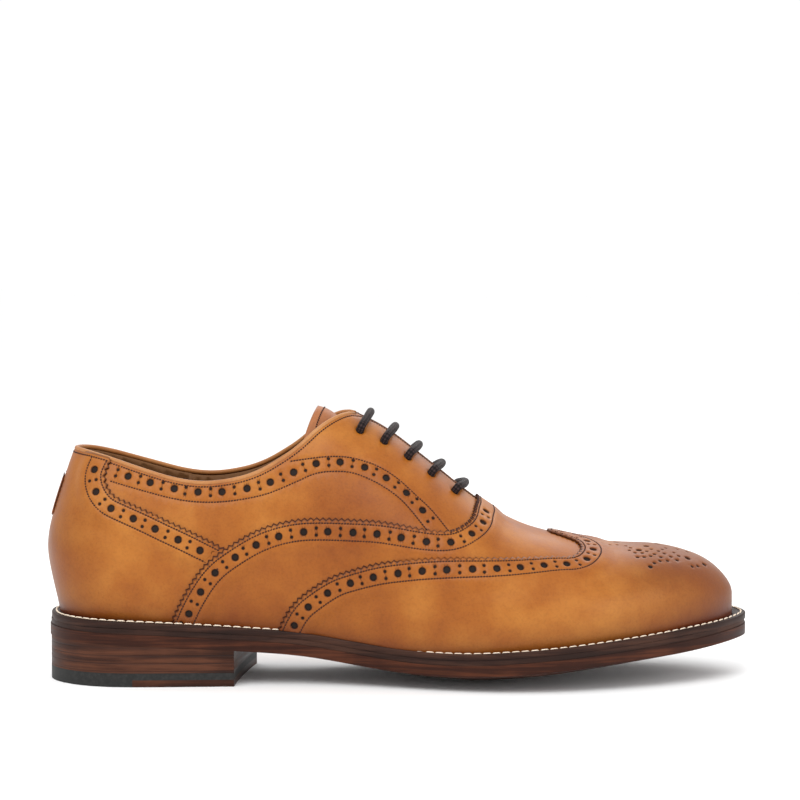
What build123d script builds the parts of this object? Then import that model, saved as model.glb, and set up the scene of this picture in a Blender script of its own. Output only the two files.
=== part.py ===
from build123d import *

import os
from bisect import bisect_right
from math import sqrt

# Right shoe of a pair: a full-brogue leather oxford on a welted leather sole.
# Toe along +X, medial side (big toe) along +Y, ground at Z = 0, millimetres.
# Stations are distances from the back of the heel, as on a last.

os.makedirs("parts", exist_ok=True)

# ---- driving dimensions ----
HALF_LENGTH = 155.1  # from the back of the heel to the middle of the sole
SIDE_SHIFT = 1.9  # from the middle of the heel to the middle of the sole's width
CENTRE = SIDE_SHIFT + 1.0  # plane between the two halves of the upper
HEEL_BACK, TOE_TIP = -0.8, 304.8  # ends of the upper
HEEL_RADIUS, TOE_RADIUS = 31.0, 45.0  # lengths over which the two ends round off

OUTSOLE, MIDSOLE, WELT = 4.8, 2.4, 3.0  # thicknesses of the sole's layers
INSOLE, SOCK = 3.0, 0.9
LEATHER, LINING, STIFFENER = 1.2, 1.0, 0.85
LAYER_GAP = 0.05
WELT_GAP = 0.4  # between the welt's inner edge and the upper
TOP_PIECE = 6.0  # rubber layer and walking layer of the heel
LIFT = 3.4
BREAST, BREAST_SKEW = 84.5, 8.5  # heel breast at the lateral edge, and its lead at the medial one
LASTING_MARGIN = 14.0

SLIT = 3.0  # half the gap between the two facings
THROAT = 188.0  # station where the facings meet the vamp
EYELET_STATIONS = [138.4, 149.0, 159.4, 169.6, 180.0]
EYELET_OFFSET = 16.0  # from the middle of the instep
LACE_RADIUS = 1.5
LACE_HOLE = 2.0
TONGUE_DEPTH = 8.0  # top of the tongue below the outer surface of the upper
TONGUE, TONGUE_LINING = 1.5, 0.8

# ---- the last: every curve is a list of (station, value) ----


def smooth(points):
    """A smooth curve through (station, value) points, as a function of the station."""
    stations = [p[0] for p in points]
    values = [p[1] for p in points]
    last = len(points) - 1
    rises = [(values[i + 1] - values[i]) / (stations[i + 1] - stations[i]) for i in range(last)]
    slopes = [rises[0]]
    for i in range(1, last):
        before, after = stations[i] - stations[i - 1], stations[i + 1] - stations[i]
        slopes.append((rises[i - 1] * after + rises[i] * before) / (before + after))
    slopes.append(rises[-1])

    def value(station):
        place = min(max(station, stations[0]), stations[-1])
        i = min(max(bisect_right(stations, place) - 1, 0), last - 1)
        span = stations[i + 1] - stations[i]
        t = (place - stations[i]) / span
        ends = values[i] * (1 + 2 * t) * (1 - t) ** 2 + values[i + 1] * t * t * (3 - 2 * t)
        return ends + span * (slopes[i] * t * (1 - t) ** 2 - slopes[i + 1] * t * t * (1 - t))

    return value


# Underside of the outsole along its middle, and how far it is cupped up at CUP_WIDTH to the side.
CUP_WIDTH = 50.0
sole_height = smooth([(-10, 19.8), (30, 18.4), (60, 17), (87, 15), (113, 12.2), (135, 8), (156, 3.6),
                      (175, 0.9), (190, 0), (207, 0.6), (233, 3.8), (250, 6.8), (268, 10.2),
                      (287, 13.7), (315, 17.5)])
sole_cup = smooth([(-10, 0), (60, 0.3), (87, 0.8), (113, 2.5), (135, 4), (156, 5.4), (190, 6.5),
                   (233, 6.3), (287, 5.5), (315, 5)])

# Middle line of the foot, and the widest points of the upper to each side of it.
middle = smooth([(0, 0), (60, 0.5), (130, 0.5), (200, 2), (260, 5), (285, 7), (305, 8)])
lateral_width = smooth([(0, 33), (30, 33), (50, 34.3), (87, 35), (113, 35.5), (135, 38), (156, 43.3),
                        (181, 49.5), (200, 52), (220, 51), (240, 47.8), (260, 41.7), (280, 36),
                        (295, 31), (305, 26)])
medial_width = smooth([(0, 33), (87, 33), (113, 32.5), (135, 32.5), (156, 35.8), (181, 41.3),
                       (200, 44.3), (220, 44), (240, 40.8), (260, 34.3), (280, 27), (295, 21),
                       (305, 17.5)])
feather_inset = smooth([(0, 4), (30, 5), (50, 3.5), (87, 4.5), (113, 4), (135, 2), (200, 2), (280, 1.5),
                        (305, 1)])

# Height of the widest points, of the ridge of the instep, and how square the section is.
side_height = smooth([(0, 57), (60, 55), (87, 54), (113, 50), (135, 45), (156, 38), (181, 31), (200, 29),
                      (220, 29), (240, 31), (260, 33), (305, 35.4)])
heel_bottom = smooth([(0.2, 49.5), (0.9, 46.6), (3.2, 36), (5.5, 28), (7, 27)])
heel_ridge = smooth([(0.2, 66.7), (2, 73.4), (4.7, 82.4), (7.5, 90.4), (11.5, 101.5), (15, 108.5),
                     (20, 116), (30, 122)])
instep_ridge = smooth([(30, 122), (50, 124.5), (70, 126), (100, 128), (115, 127), (125, 124.5),
                       (131, 121.5), (136.4, 118), (147, 112.6), (168.3, 96.6), (189.7, 79.4),
                       (200, 72.6), (211, 67.2), (221.8, 64), (232.5, 61.5), (243, 59.6), (260, 58.4)])
toe_rise = smooth([(260, 25.4), (281, 24.3), (296, 23.3), (305, 20)])
squareness = smooth([(0, 2), (12, 1.6), (20, 1.4), (45, 1.55), (70, 1.6), (100, 1.9), (130, 2),
                     (175, 1.9), (220, 2), (250, 2.1), (280, 2.2), (305, 2.2)])

LAST_STATIONS = [0.2, 2.5, 6.5, 12.5, 20, 30, 48, 70, 92, 112, 125, 136, 150, 165, 178, 190, 201, 214,
                 230, 247, 262, 276, 287, 295, 300.5, 303.6]
GIRTH_STEPS = [0.31, 0.58, 0.83]  # quarter turns from the widest point up to the ridge
# The same spacing along every section keeps the lofted surface light and even.
GIRTH_PARAMETERS = [0, 0.8, 1.6, 2.9, 4.2, 5.4, 6.6, 7.8, 9.0, 10.3, 11.6, 12.4, 13.2]


def at(station):
    """X of a station."""
    return station - HALF_LENGTH


def grown_at(station, growth):
    """X of a station on a last that is longer by the growth at each end."""
    centre = (HEEL_BACK + TOE_TIP) / 2
    half = (TOE_TIP - HEEL_BACK) / 2
    return at(centre + (station - centre) * (half + growth) / half)


def fullness(station):
    """0 at the very ends of the last, rising to 1 where it has its full section."""
    heel = min(1.0, (station - HEEL_BACK) / HEEL_RADIUS)
    toe = min(1.0, (TOE_TIP - station) / TOE_RADIUS)
    return min(sqrt(1 - (1 - heel) ** 2), sqrt(1 - (1 - toe) ** 2))


def underside(station, side):
    """Height of the outsole's underside at a distance to the side of the middle."""
    return sole_height(station) + sole_cup(station) * (side / CUP_WIDTH) ** 2


def ridge_height(station, growth=0.0):
    """Height of the top of the section."""
    full = fullness(station)
    if station < 30:
        return heel_ridge(station) + growth * full
    if station < 260:
        return instep_ridge(station) + growth
    return side_height(station) + (toe_rise(station) + growth) * full


def half_width(station, side, growth=0.0):
    """Widest reach to the lateral (-1) or medial (1) side of the middle line."""
    width = medial_width if side > 0 else lateral_width
    return (width(station) + growth) * fullness(station)


def surface_height(station, offset, growth=0.0):
    """Height of the upper's surface, above its widest line, at an offset from the middle."""
    reach = half_width(station, offset, growth)
    power = squareness(station)
    low = side_height(station)
    rise = (1 - min(1.0, abs(offset) / reach) ** power) ** (1 / power)
    return low + (ridge_height(station, growth) - low) * rise


def side_points(station, side, growth):
    """Points of the section from the feather edge up to just short of the ridge."""
    mid = middle(station)
    wide = half_width(station, side, growth)
    feather = max(wide - feather_inset(station) * fullness(station), 0.5)
    layer = OUTSOLE + MIDSOLE - growth + LAYER_GAP
    low = underside(station, mid + side * feather) + layer
    if station < 5.5:
        low = max(low, heel_bottom(station) - growth * fullness(station))
    level = side_height(station)
    points = [(mid + side * feather, low)]
    points.append((mid + side * (feather + 0.8 * (wide - feather)), low + 0.5 * (level - low)))
    points.append((mid + side * wide, level))
    power = 2 / squareness(station)
    rise = ridge_height(station, growth) - level
    for step in GIRTH_STEPS:
        turn = Vector(1, 0).rotate(Axis.Z, 90 * step)
        points.append((mid + side * wide * turn.X**power, level + rise * turn.Y**power))
    return points


def last_section(station, growth):
    """Cross-section of the last as a sketch on its own station plane."""
    lateral = side_points(station, -1, growth)
    medial = side_points(station, 1, growth)
    (y1, z1), (y2, z2) = lateral[0], medial[0]
    dip = (z1 + z2) / 2 - sole_cup(station) * ((y2 - y1) / CUP_WIDTH) ** 2 / 2
    over = lateral + [(middle(station), ridge_height(station, growth))] + medial[::-1]
    over = [Vector(y, z) for y, z in over]
    plane = Plane(origin=(grown_at(station, growth), SIDE_SHIFT, 0), x_dir=(0, 1, 0), z_dir=(1, 0, 0))
    with BuildSketch(plane) as section:
        with BuildLine():
            Bezier((y2, z2), ((y1 + y2) / 2, dip), (y1, z1))
            add(Edge.make_spline(over, parameters=GIRTH_PARAMETERS))
        make_face()
    return section.sketch


def last_block(growth):
    """Solid last whose surface is the upper's outer surface, moved out by the growth."""
    sections = [last_section(station, growth) for station in LAST_STATIONS]
    with BuildPart() as block:
        loft(sections=sections)
    return block.part



def save(part, name):
    """Give a finished sub-part its name and write it out."""
    part.label = name
    export_step(part, f"parts/{name}.step")


# ---- seams, drawn on a view from 45 degrees above each side: (station, slant height) ----
SLANT = Plane(origin=(0, SIDE_SHIFT, 0), x_dir=(1, 0, 0), z_dir=(0, -1, 1))
FAR = 150.0

VAMP_EDGE = [(55.5, -4), (62.9, 5.3), (70.7, 12.9), (79.8, 18.3), (92.8, 24.1), (106.2, 27.4),
             (120, 28.1), (143, 26.4), (166.2, 22.8), (177, 23.1), (183.2, 27.6), (186.8, 33.9),
             (188.4, 43.2), (189.3, 51.5)]
VAMP_LAP = [(66.5, -4), (73.7, 4.7), (79.8, 9.9), (88.5, 15.3), (101.9, 20.1), (114.9, 21.4),
            (131.7, 20.7), (154.6, 16.4), (166.2, 14.4), (177.8, 14.8), (186.5, 18.3),
            (192.3, 24.7), (197.1, 37), (198.6, 52)]
WING_EDGE = [(101, -7), (108.3, 0.5), (115.3, 4.5), (125.7, 8.4), (135.6, 10.1), (146, 10.9),
             (160.2, 11), (180, 11.4), (199, 13.2), (221.4, 18.6), (229.4, 20.2), (233.1, 23.4),
             (234.9, 29.3), (233.1, 35.5), (228.5, 39.4), (222, 44.5)]
WING_LAP = [(110, -9), (116, -3), (125.7, 1), (137, 4), (150, 5), (168, 4.6), (190.2, 4.5),
            (205.7, 5.4), (221, 8), (231.6, 11.7), (239, 19.1), (242.7, 27.6), (242.4, 34.1),
            (239, 45)]
COUNTER_EDGE = [(31, 58), (29.6, 54.2), (27.7, 47.9), (30.6, 41.2), (36.9, 37.1), (53.3, 29.6),
                (66.4, 24.3), (82, 17.8)]
COUNTER_LAP = [(22.5, 62), (21, 57.4), (19.6, 49), (20.4, 42), (25.1, 34.4), (35.4, 28.7),
               (48.6, 23.5), (62.1, 18.5), (74, 11)]
TOPLINE = [(-14, 101.3), (11.5, 101.6), (13.8, 101.4), (26.4, 98.8), (43, 93.7), (58.7, 89.4),
           (71.5, 88.1), (84.7, 89.8), (95.2, 93.3), (105.5, 99.3), (112.5, 104.6),
           (121.2, 113.2), (127.5, 118.2), (132, 119.9)]
BINDING = 1.6  # depth of the topline binding


def two_sided(seam, corners):
    """Solid of everything on one side of a seam, the same on both sides of the shoe."""
    points = [(at(station), height) for station, height in seam]
    with BuildPart(mode=Mode.PRIVATE) as region:
        with BuildSketch(SLANT):
            with BuildLine():
                Spline(*points)
                Polyline(points[-1], *[(at(s), height) for s, height in corners], points[0])
            make_face()
        extrude(amount=FAR, both=True)
        split(bisect_by=Plane.XZ.offset(-CENTRE), keep=Keep.TOP)
        mirror(about=Plane.XZ.offset(-CENTRE))
    return region.part


def ahead_of(seam):
    """Everything from a seam to the toe."""
    return two_sided(seam, [(seam[-1][0], FAR), (340, FAR), (340, -FAR), (seam[0][0], -FAR)])


def behind(seam):
    """Everything from a seam to the back of the heel."""
    return two_sided(seam, [(seam[-1][0], -FAR), (-40, -FAR), (-40, FAR), (seam[0][0], FAR)])


def opening_above(drop):
    """Everything above the topline, lowered by the given depth."""
    points = [(at(station), height - drop) for station, height in TOPLINE]
    with BuildPart(mode=Mode.PRIVATE) as region:
        with BuildSketch(Plane.XZ):
            with BuildLine():
                Spline(*points[1:])
                Polyline(points[-1], (points[-1][0], FAR), (points[0][0], FAR), points[0], points[1])
            make_face()
        extrude(amount=FAR, both=True)
    return region.part


def between(start, end, low=0.0, high=FAR):
    """Everything between two stations and two heights."""
    with BuildPart(mode=Mode.PRIVATE) as region:
        with BuildSketch(Plane.XY.offset(low)):
            with Locations((at((start + end) / 2), CENTRE)):
                Rectangle(end - start, 2 * FAR)
        extrude(amount=high - low)
    return region.part


def beside(sign, near=0.0, far=FAR):
    """Everything on one side of the middle plane, from a near to a far distance."""
    with BuildPart(mode=Mode.PRIVATE) as region:
        with BuildSketch(Plane.XY):
            with Locations((0, CENTRE + sign * (near + far) / 2)):
                Rectangle(3 * FAR, far - near)
        extrude(amount=FAR)
    return region.part


# ---- sole outlines and layers ----
SOLE_OUTLINE = [(1, 0), (6, -20), (22, -33), (50, -36), (90, -34), (120, -34.5), (150, -41),
                (180, -50), (207, -54), (237, -49.5), (265, -38), (290, -22), (305, -5), (311, 9),
                (306, 25), (290, 38), (265, 46), (240, 50), (215, 50.5), (190, 47), (160, 38),
                (130, 30), (100, 29), (70, 32.5), (40, 34.5), (18, 29), (5, 15)]
SHEET_STATIONS = [-10, 10, 30, 60, 87, 113, 135, 156, 175, 190, 207, 233, 250, 268, 287, 315]
SHEET_HALF = 64.0


def footprint(inset):
    """Outline of the sole in plan, drawn in all round."""
    corners = [Vector(at(station), SIDE_SHIFT + side) for station, side in SOLE_OUTLINE]
    following = corners[1:] + corners[:1]
    previous = corners[-1:] + corners[:-1]
    points = []
    for corner, after, before in zip(corners, following, previous):
        inward = (after - before).normalized().rotate(Axis.Z, 90)
        points.append(corner + inward * inset)
    with BuildSketch(Plane.XY, mode=Mode.PRIVATE) as plan:
        with BuildLine():
            Spline(*points, periodic=True)
        make_face()
    return plan.sketch


def sheet(low, high):
    """Cupped sheet between two heights above the outsole's underside."""
    sections = []
    for station in SHEET_STATIONS:
        edge = underside(station, SHEET_HALF)
        turn = 2 * sole_height(station) - edge
        plane = Plane(origin=(at(station), SIDE_SHIFT, 0), x_dir=(0, 1, 0), z_dir=(1, 0, 0))
        with BuildSketch(plane, mode=Mode.PRIVATE) as section:
            with BuildLine():
                lower = Bezier((-SHEET_HALF, edge + low), (0, turn + low), (SHEET_HALF, edge + low))
                upper = Bezier((-SHEET_HALF, edge + high), (0, turn + high), (SHEET_HALF, edge + high))
                Line(lower @ 0, upper @ 0)
                Line(lower @ 1, upper @ 1)
            make_face()
        sections.append(section.sketch)
    with BuildPart(mode=Mode.PRIVATE) as cupped:
        loft(sections=sections)
    return cupped.part


def sole_layer(low, high, inset):
    """One layer of the sole, cut to its outline."""
    with BuildPart(mode=Mode.PRIVATE) as layer:
        add(sheet(low, high))
        add(footprint(inset))
        extrude(amount=FAR, mode=Mode.INTERSECT)
    return layer.part


WALL = LEATHER + 2 * LINING  # outer leather, stiffener layer and lining together
MARGIN_BOTTOM = OUTSOLE + MIDSOLE + LAYER_GAP
INSOLE_BOTTOM = MARGIN_BOTTOM + WALL + LAYER_GAP
WELT_TOP = OUTSOLE + MIDSOLE + WELT


def heel_plan():
    """Outline of the heel seat: the sole's outline behind the breast."""
    with BuildSketch(Plane.XY, mode=Mode.PRIVATE) as plan:
        add(footprint(0.4))
        with BuildSketch(Plane.XY, mode=Mode.INTERSECT):
            with BuildLine():
                breast = ThreePointArc((at(BREAST - 1), -60), (at(BREAST + BREAST_SKEW / 2 - 2.5), 0),
                                       (at(BREAST + BREAST_SKEW + 3), 60))
                Polyline(breast @ 1, (at(-20), 60), (at(-20), -60), breast @ 0)
            make_face()
    return plan.sketch



def cut_from(stock, keep=(), cut=()):
    """Stock kept inside some regions and cut away by others, in that order."""
    with BuildPart(mode=Mode.PRIVATE) as piece:
        add(stock)
        for region in keep:
            add(region, mode=Mode.INTERSECT)
        for region in cut:
            add(region, mode=Mode.SUBTRACT)
    return piece.part


def heel_layer(low, high, start=-20.0):
    """Part of the heel between two level heights, forward of a station."""
    with BuildPart(mode=Mode.PRIVATE) as layer:
        with BuildSketch(Plane.XY.offset(low)):
            add(heel_plan())
        extrude(amount=high - low)
        add(between(start, 2 * BREAST), mode=Mode.INTERSECT)
    return layer.part


def instep_plane(station, offset, depth=0.0):
    """Plane square to the upper's surface beside the middle of the instep, at a depth under it."""
    step = 0.5
    rise_along = surface_height(station + step, offset) - surface_height(station - step, offset)
    rise_across = surface_height(station, offset + step) - surface_height(station, offset - step)
    normal = Vector(-rise_along, -rise_across, 2 * step).normalized()
    point = Vector(at(station), SIDE_SHIFT + middle(station) + offset, surface_height(station, offset))
    return Plane(origin=point - normal * depth, z_dir=normal)


def instep_holes(radius, shallow, deep):
    """Round plugs through the ten eyelet places, between two depths under the surface."""
    with BuildPart(mode=Mode.PRIVATE) as plugs:
        for station in EYELET_STATIONS:
            for side in (-1, 1):
                with BuildSketch(instep_plane(station, side * EYELET_OFFSET, deep)):
                    Circle(radius)
                extrude(amount=deep - shallow)
    return plugs.part


# ---- the bottom of the shoe ----
outsole = sole_layer(0, OUTSOLE - LAYER_GAP, 0)
save(outsole, "outsole")

midsole = sole_layer(OUTSOLE, OUTSOLE + MIDSOLE - LAYER_GAP, 0.4)
save(midsole, "midsole")

welt_stock = sole_layer(OUTSOLE + MIDSOLE, WELT_TOP, 0.2)
welt = cut_from(welt_stock, cut=[last_block(WELT_GAP)])
save(welt, "welt")

foot_block = last_block(-WALL - LAYER_GAP)
insole = cut_from(foot_block, keep=[sole_layer(MARGIN_BOTTOM, INSOLE_BOTTOM + INSOLE, 0)])
save(insole, "insole")

sock_bottom = INSOLE_BOTTOM + INSOLE + LAYER_GAP
sock_liner = cut_from(foot_block, keep=[sole_layer(sock_bottom, sock_bottom + SOCK, 0)])
save(sock_liner, "sock_liner")

SHANK_START, SHANK_END, SHANK_WIDTH, SHANK_THICK = 45.0, 165.0, 13.0, 1.2
cork_top = INSOLE_BOTTOM - LAYER_GAP
shank = cut_from(sheet(cork_top - SHANK_THICK, cork_top),
                 keep=[between(SHANK_START, SHANK_END), beside(1, -SHANK_WIDTH / 2, SHANK_WIDTH / 2)])
save(shank, "shank")

cork_filler = cut_from(sole_layer(MARGIN_BOTTOM, cork_top, LASTING_MARGIN + 6.3), cut=[shank])
save(cork_filler, "cork_filler")

# ---- heel: three lifts under the outsole, then the top piece ----
for number in (1, 2):
    lift = cut_from(sheet(-number * LIFT, -(number - 1) * LIFT - LAYER_GAP), keep=[heel_layer(0, FAR)])
    save(lift, f"heel_lift_{number}")

NAIL_RADIUS, NAIL_TOP = 0.9, 11.0
with BuildPart() as heel_nails:
    with BuildSketch(Plane.XY.offset(0.2)):
        with Locations((at(34), SIDE_SHIFT)):
            with PolarLocations(24, 7, start_angle=105, angular_range=150, endpoint=True):
                Circle(NAIL_RADIUS)
    extrude(amount=NAIL_TOP)
save(heel_nails.part, "heel_nails")

wedge = heel_layer(TOP_PIECE + LAYER_GAP, FAR)
heel_lift_3 = cut_from(sheet(-30, -2 * LIFT - LAYER_GAP), keep=[wedge], cut=[heel_nails.part])
save(heel_lift_3, "heel_lift_3")

INSERT_START = 40.0
insert = heel_layer(0, TOP_PIECE / 2, INSERT_START)
save(insert, "top_piece_leather")
top_piece_rubber = cut_from(heel_layer(0, TOP_PIECE), cut=[insert, heel_nails.part])
save(top_piece_rubber, "top_piece_rubber")

# ---- upper: each layer is the space between two lasts ----
opening = opening_above(BINDING)
facing_gap = cut_from(between(110, THROAT, 60), keep=[beside(1, -SLIT, SLIT)])
hollow = sole_layer(0, INSOLE_BOTTOM - LAYER_GAP / 2, LASTING_MARGIN + 6)

upper_face = last_block(0)
upper_back = last_block(-LEATHER)
band_face = last_block(LEATHER)
band_back = last_block(LAYER_GAP)
outside = cut_from(between(-40, 340), cut=[upper_face])
welt_zone = cut_from(sheet(-20, WELT_TOP + LAYER_GAP), cut=[upper_face])
sole_zone = sheet(-20, MARGIN_BOTTOM - LAYER_GAP / 2)

ahead_of_vamp = ahead_of(VAMP_EDGE)
ahead_of_vamp_lap = ahead_of(VAMP_LAP)
ahead_of_wing = ahead_of(WING_EDGE)
ahead_of_wing_lap = ahead_of(WING_LAP)
behind_counter = behind(COUNTER_EDGE)
behind_counter_lap = behind(COUNTER_LAP)
STRIP = 2.0  # width over which a lapped piece has its full thickness


def lapped(beyond_edge, beyond_lap, forward, cut):
    """Leather piece whose edge laps over its neighbour and which is flush beyond the lap."""
    flush = Location((forward * STRIP, 0, -STRIP)) * beyond_lap
    under_lap = cut_from(band_back, cut=[beyond_lap])
    above_flush = cut_from(outside, keep=[flush])
    return cut_from(band_face, keep=[beyond_edge], cut=[*cut, sole_zone, under_lap, above_flush, upper_back, hollow])


wing_cap = lapped(ahead_of_wing, ahead_of_wing_lap, 1, [welt_zone])
save(wing_cap, "wing_cap")
vamp = lapped(ahead_of_vamp, ahead_of_vamp_lap, 1, [welt_zone, ahead_of_wing_lap])
save(vamp, "vamp")
vamp_cover = cut_from(outside, keep=[ahead_of_vamp])
counter_cover = lapped(behind_counter, behind_counter_lap, -1,
                       [welt_zone, opening, ahead_of_vamp_lap, vamp_cover])
save(counter_cover, "counter_cover")

eyelet_holes = instep_holes(LACE_HOLE, -2 * LEATHER, 2 * LEATHER)
quarter_stock = cut_from(upper_face, keep=[between(-40, 340, 32)],
                         cut=[opening, ahead_of_vamp_lap, behind_counter_lap, facing_gap, upper_back,
                              eyelet_holes])
for side_name, side in (("lateral", -1), ("medial", 1)):
    quarter = cut_from(quarter_stock, keep=[beside(side, LAYER_GAP)])
    save(quarter, f"quarter_{side_name}")


# ---- inside of the upper ----
lining_face = last_block(-LEATHER - LINING)
lining_back = last_block(-WALL)
lining_holes = instep_holes(LACE_HOLE + 0.7, 0, WALL + 1.5)
lining_cuts = [sole_zone, opening, facing_gap, lining_back, hollow, lining_holes]
HEEL_LINING_END = 62.0
lining = cut_from(lining_face, cut=lining_cuts)
heel_lining = cut_from(lining, keep=[between(-40, HEEL_LINING_END)])
save(heel_lining, "heel_lining")
vamp_lining = cut_from(lining, keep=[ahead_of_vamp_lap])
save(vamp_lining, "vamp_lining")
quarter_lining = cut_from(lining, keep=[between(HEEL_LINING_END + LAYER_GAP, 340)],
                          cut=[Location((-LAYER_GAP, 0, LAYER_GAP)) * ahead_of_vamp_lap])
for side_name, side in (("lateral", -1), ("medial", 1)):
    save(cut_from(quarter_lining, keep=[beside(side, LAYER_GAP)]), f"quarter_lining_{side_name}")

STIFFENER_FACE = -LEATHER - LAYER_GAP
stiffener_face = last_block(STIFFENER_FACE)
stiffener_back = last_block(STIFFENER_FACE - STIFFENER)
stiffeners = {
    "toe_puff": [between(255, 340)],
    "heel_stiffener": [between(-40, 78, 0, 74)],
    "side_stiffener_lateral": [between(104, 236, 0, 46), beside(-1, 12)],
    "side_stiffener_medial": [between(104, 236, 0, 46), beside(1, 12)],
}
for name, zone in stiffeners.items():
    save(cut_from(stiffener_face, keep=zone, cut=[sole_zone, stiffener_back, hollow]), name)

STAY = 0.4
FLANGE_TOP, FLANGE, FLANGE_RADIUS = 1.56, 0.16, 2.6  # of the eyelets, under the surface
stay_holes = instep_holes(FLANGE_RADIUS + 0.3, 0, WALL)
stay_back = last_block(STIFFENER_FACE - STAY)
for side_name, side in (("lateral", -1), ("medial", 1)):
    stay = cut_from(stiffener_face, keep=[between(133, THROAT - 1, 60), beside(side, SLIT + 1, 23)],
                    cut=[stay_back, stay_holes])
    save(stay, f"facing_stay_{side_name}")

# ---- blind eyelets: a barrel through the lining under a flat flange ----
BARREL_END = 2.55
barrels = instep_holes(LACE_HOLE + 0.35, FLANGE_TOP, BARREL_END)
flanges = instep_holes(FLANGE_RADIUS, FLANGE_TOP, FLANGE_TOP + FLANGE)
with BuildPart() as blind_eyelets:
    add(barrels)
    add(flanges)
    add(instep_holes(LACE_HOLE, 0, 2 * WALL), mode=Mode.SUBTRACT)
save(blind_eyelets.part, "blind_eyelets")

# ---- topline binding and the tab at the back ----
BINDING_OUT = 0.3
binding_zone = opening_above(BINDING - LAYER_GAP)
topline_binding = cut_from(last_block(BINDING_OUT), keep=[binding_zone],
                           cut=[opening_above(0), last_block(-WALL - BINDING_OUT), facing_gap])
save(topline_binding, "topline_binding")

TAB_LOW, TAB_HIGH, TAB_HALF = 73.0, 90.0, 7.0
tab_zone = cut_from(between(-40, 14, TAB_LOW, TAB_HIGH), keep=[beside(1, -TAB_HALF, TAB_HALF)])
heel_tab = cut_from(band_face, keep=[tab_zone], cut=[band_back])
save(heel_tab, "heel_tab")

# ---- tongue and its lining, hinged where they are sewn in at the throat ----
TONGUE_OUTLINE = [(121, 132), (118.5, 121.5), (112.5, 107), (112, 96), (122, 91), (150, 84),
                  (187.5, 70), (187.5, 90), (150, 125)]
with BuildPart() as tongue_zone:
    with BuildSketch(Plane.XZ):
        with BuildLine():
            Polyline(*[(at(station), height) for station, height in TONGUE_OUTLINE], close=True)
        make_face()
    extrude(amount=FAR, both=True)
tongue = cut_from(last_block(-TONGUE_DEPTH), keep=[tongue_zone.part],
                  cut=[last_block(-TONGUE_DEPTH - TONGUE)])
save(tongue, "tongue")
lining_depth = TONGUE_DEPTH + TONGUE + LAYER_GAP
tongue_lining = cut_from(last_block(-lining_depth), keep=[tongue_zone.part],
                         cut=[last_block(-lining_depth - TONGUE_LINING)])
save(tongue_lining, "tongue_lining")

# ---- lace: straight bars across the instep, joined by runs under the facings ----
BAR_STEPS = [-EYELET_OFFSET, -8.0, 0.0, 8.0, EYELET_OFFSET]
EYELET_RISE, BAR_RISE, RUN_DEPTH = 3.0, 2.3, 4.5
TAIL_STEPS = [(3.0, 20.5, 4.7), (10.0, 21.5, 5.0)]  # along, out from the middle, under the surface
CORNER, BAR_BEND, TAIL_BEND = 2.2, 9.0, 3.0


def instep_point(station, offset, rise):
    """Point at a height above the upper's surface, beside the middle of the instep."""
    return instep_plane(station, offset, -rise).origin


route, bends = [], []
first, last = EYELET_STATIONS[-1], EYELET_STATIONS[0]
for along, out, depth in reversed(TAIL_STEPS):
    route.append(instep_point(first - along, -out, -depth))
for number, station in enumerate(reversed(EYELET_STATIONS)):
    heading = 1 if number % 2 == 0 else -1
    steps = [heading * step for step in BAR_STEPS]
    route.append(instep_point(station, steps[0], -RUN_DEPTH))
    for step in steps:
        rise = EYELET_RISE if abs(step) == EYELET_OFFSET else BAR_RISE
        route.append(instep_point(station, step, rise))
    route.append(instep_point(station, steps[-1], -RUN_DEPTH))
    bends += [CORNER, CORNER, BAR_BEND, BAR_BEND, BAR_BEND, CORNER, CORNER]
for along, out, depth in TAIL_STEPS:
    route.append(instep_point(last + along, out, -depth))
bends = [TAIL_BEND] + bends + [TAIL_BEND]

with BuildPart() as lace:
    with BuildLine() as lace_line:
        FilletPolyline(*route, radius=bends)
    start = lace_line.wire()
    with BuildSketch(Plane(origin=start @ 0, z_dir=start % 0)):
        Circle(LACE_RADIUS)
    sweep()
save(lace.part, "lace")
lace_wire = lace_line.wire()
print("lace length", lace_wire.length)

AGLET_LENGTH, AGLET_RADIUS = 14.0, 1.3
with BuildPart() as aglets:
    for end, heading in ((0, -1), (1, 1)):
        tip = lace_wire @ end + (lace_wire % end) * (heading * LAYER_GAP)
        with BuildSketch(Plane(origin=tip, z_dir=(lace_wire % end) * heading)):
            Circle(AGLET_RADIUS)
        extrude(amount=AGLET_LENGTH)
save(aglets.part, "aglets")
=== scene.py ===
from math import cos, pi, radians, sin, sqrt

import bmesh
import bpy
import numpy as np
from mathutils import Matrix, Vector
from mathutils.geometry import delaunay_2d_cdt
from mathutils.kdtree import KDTree


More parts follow.
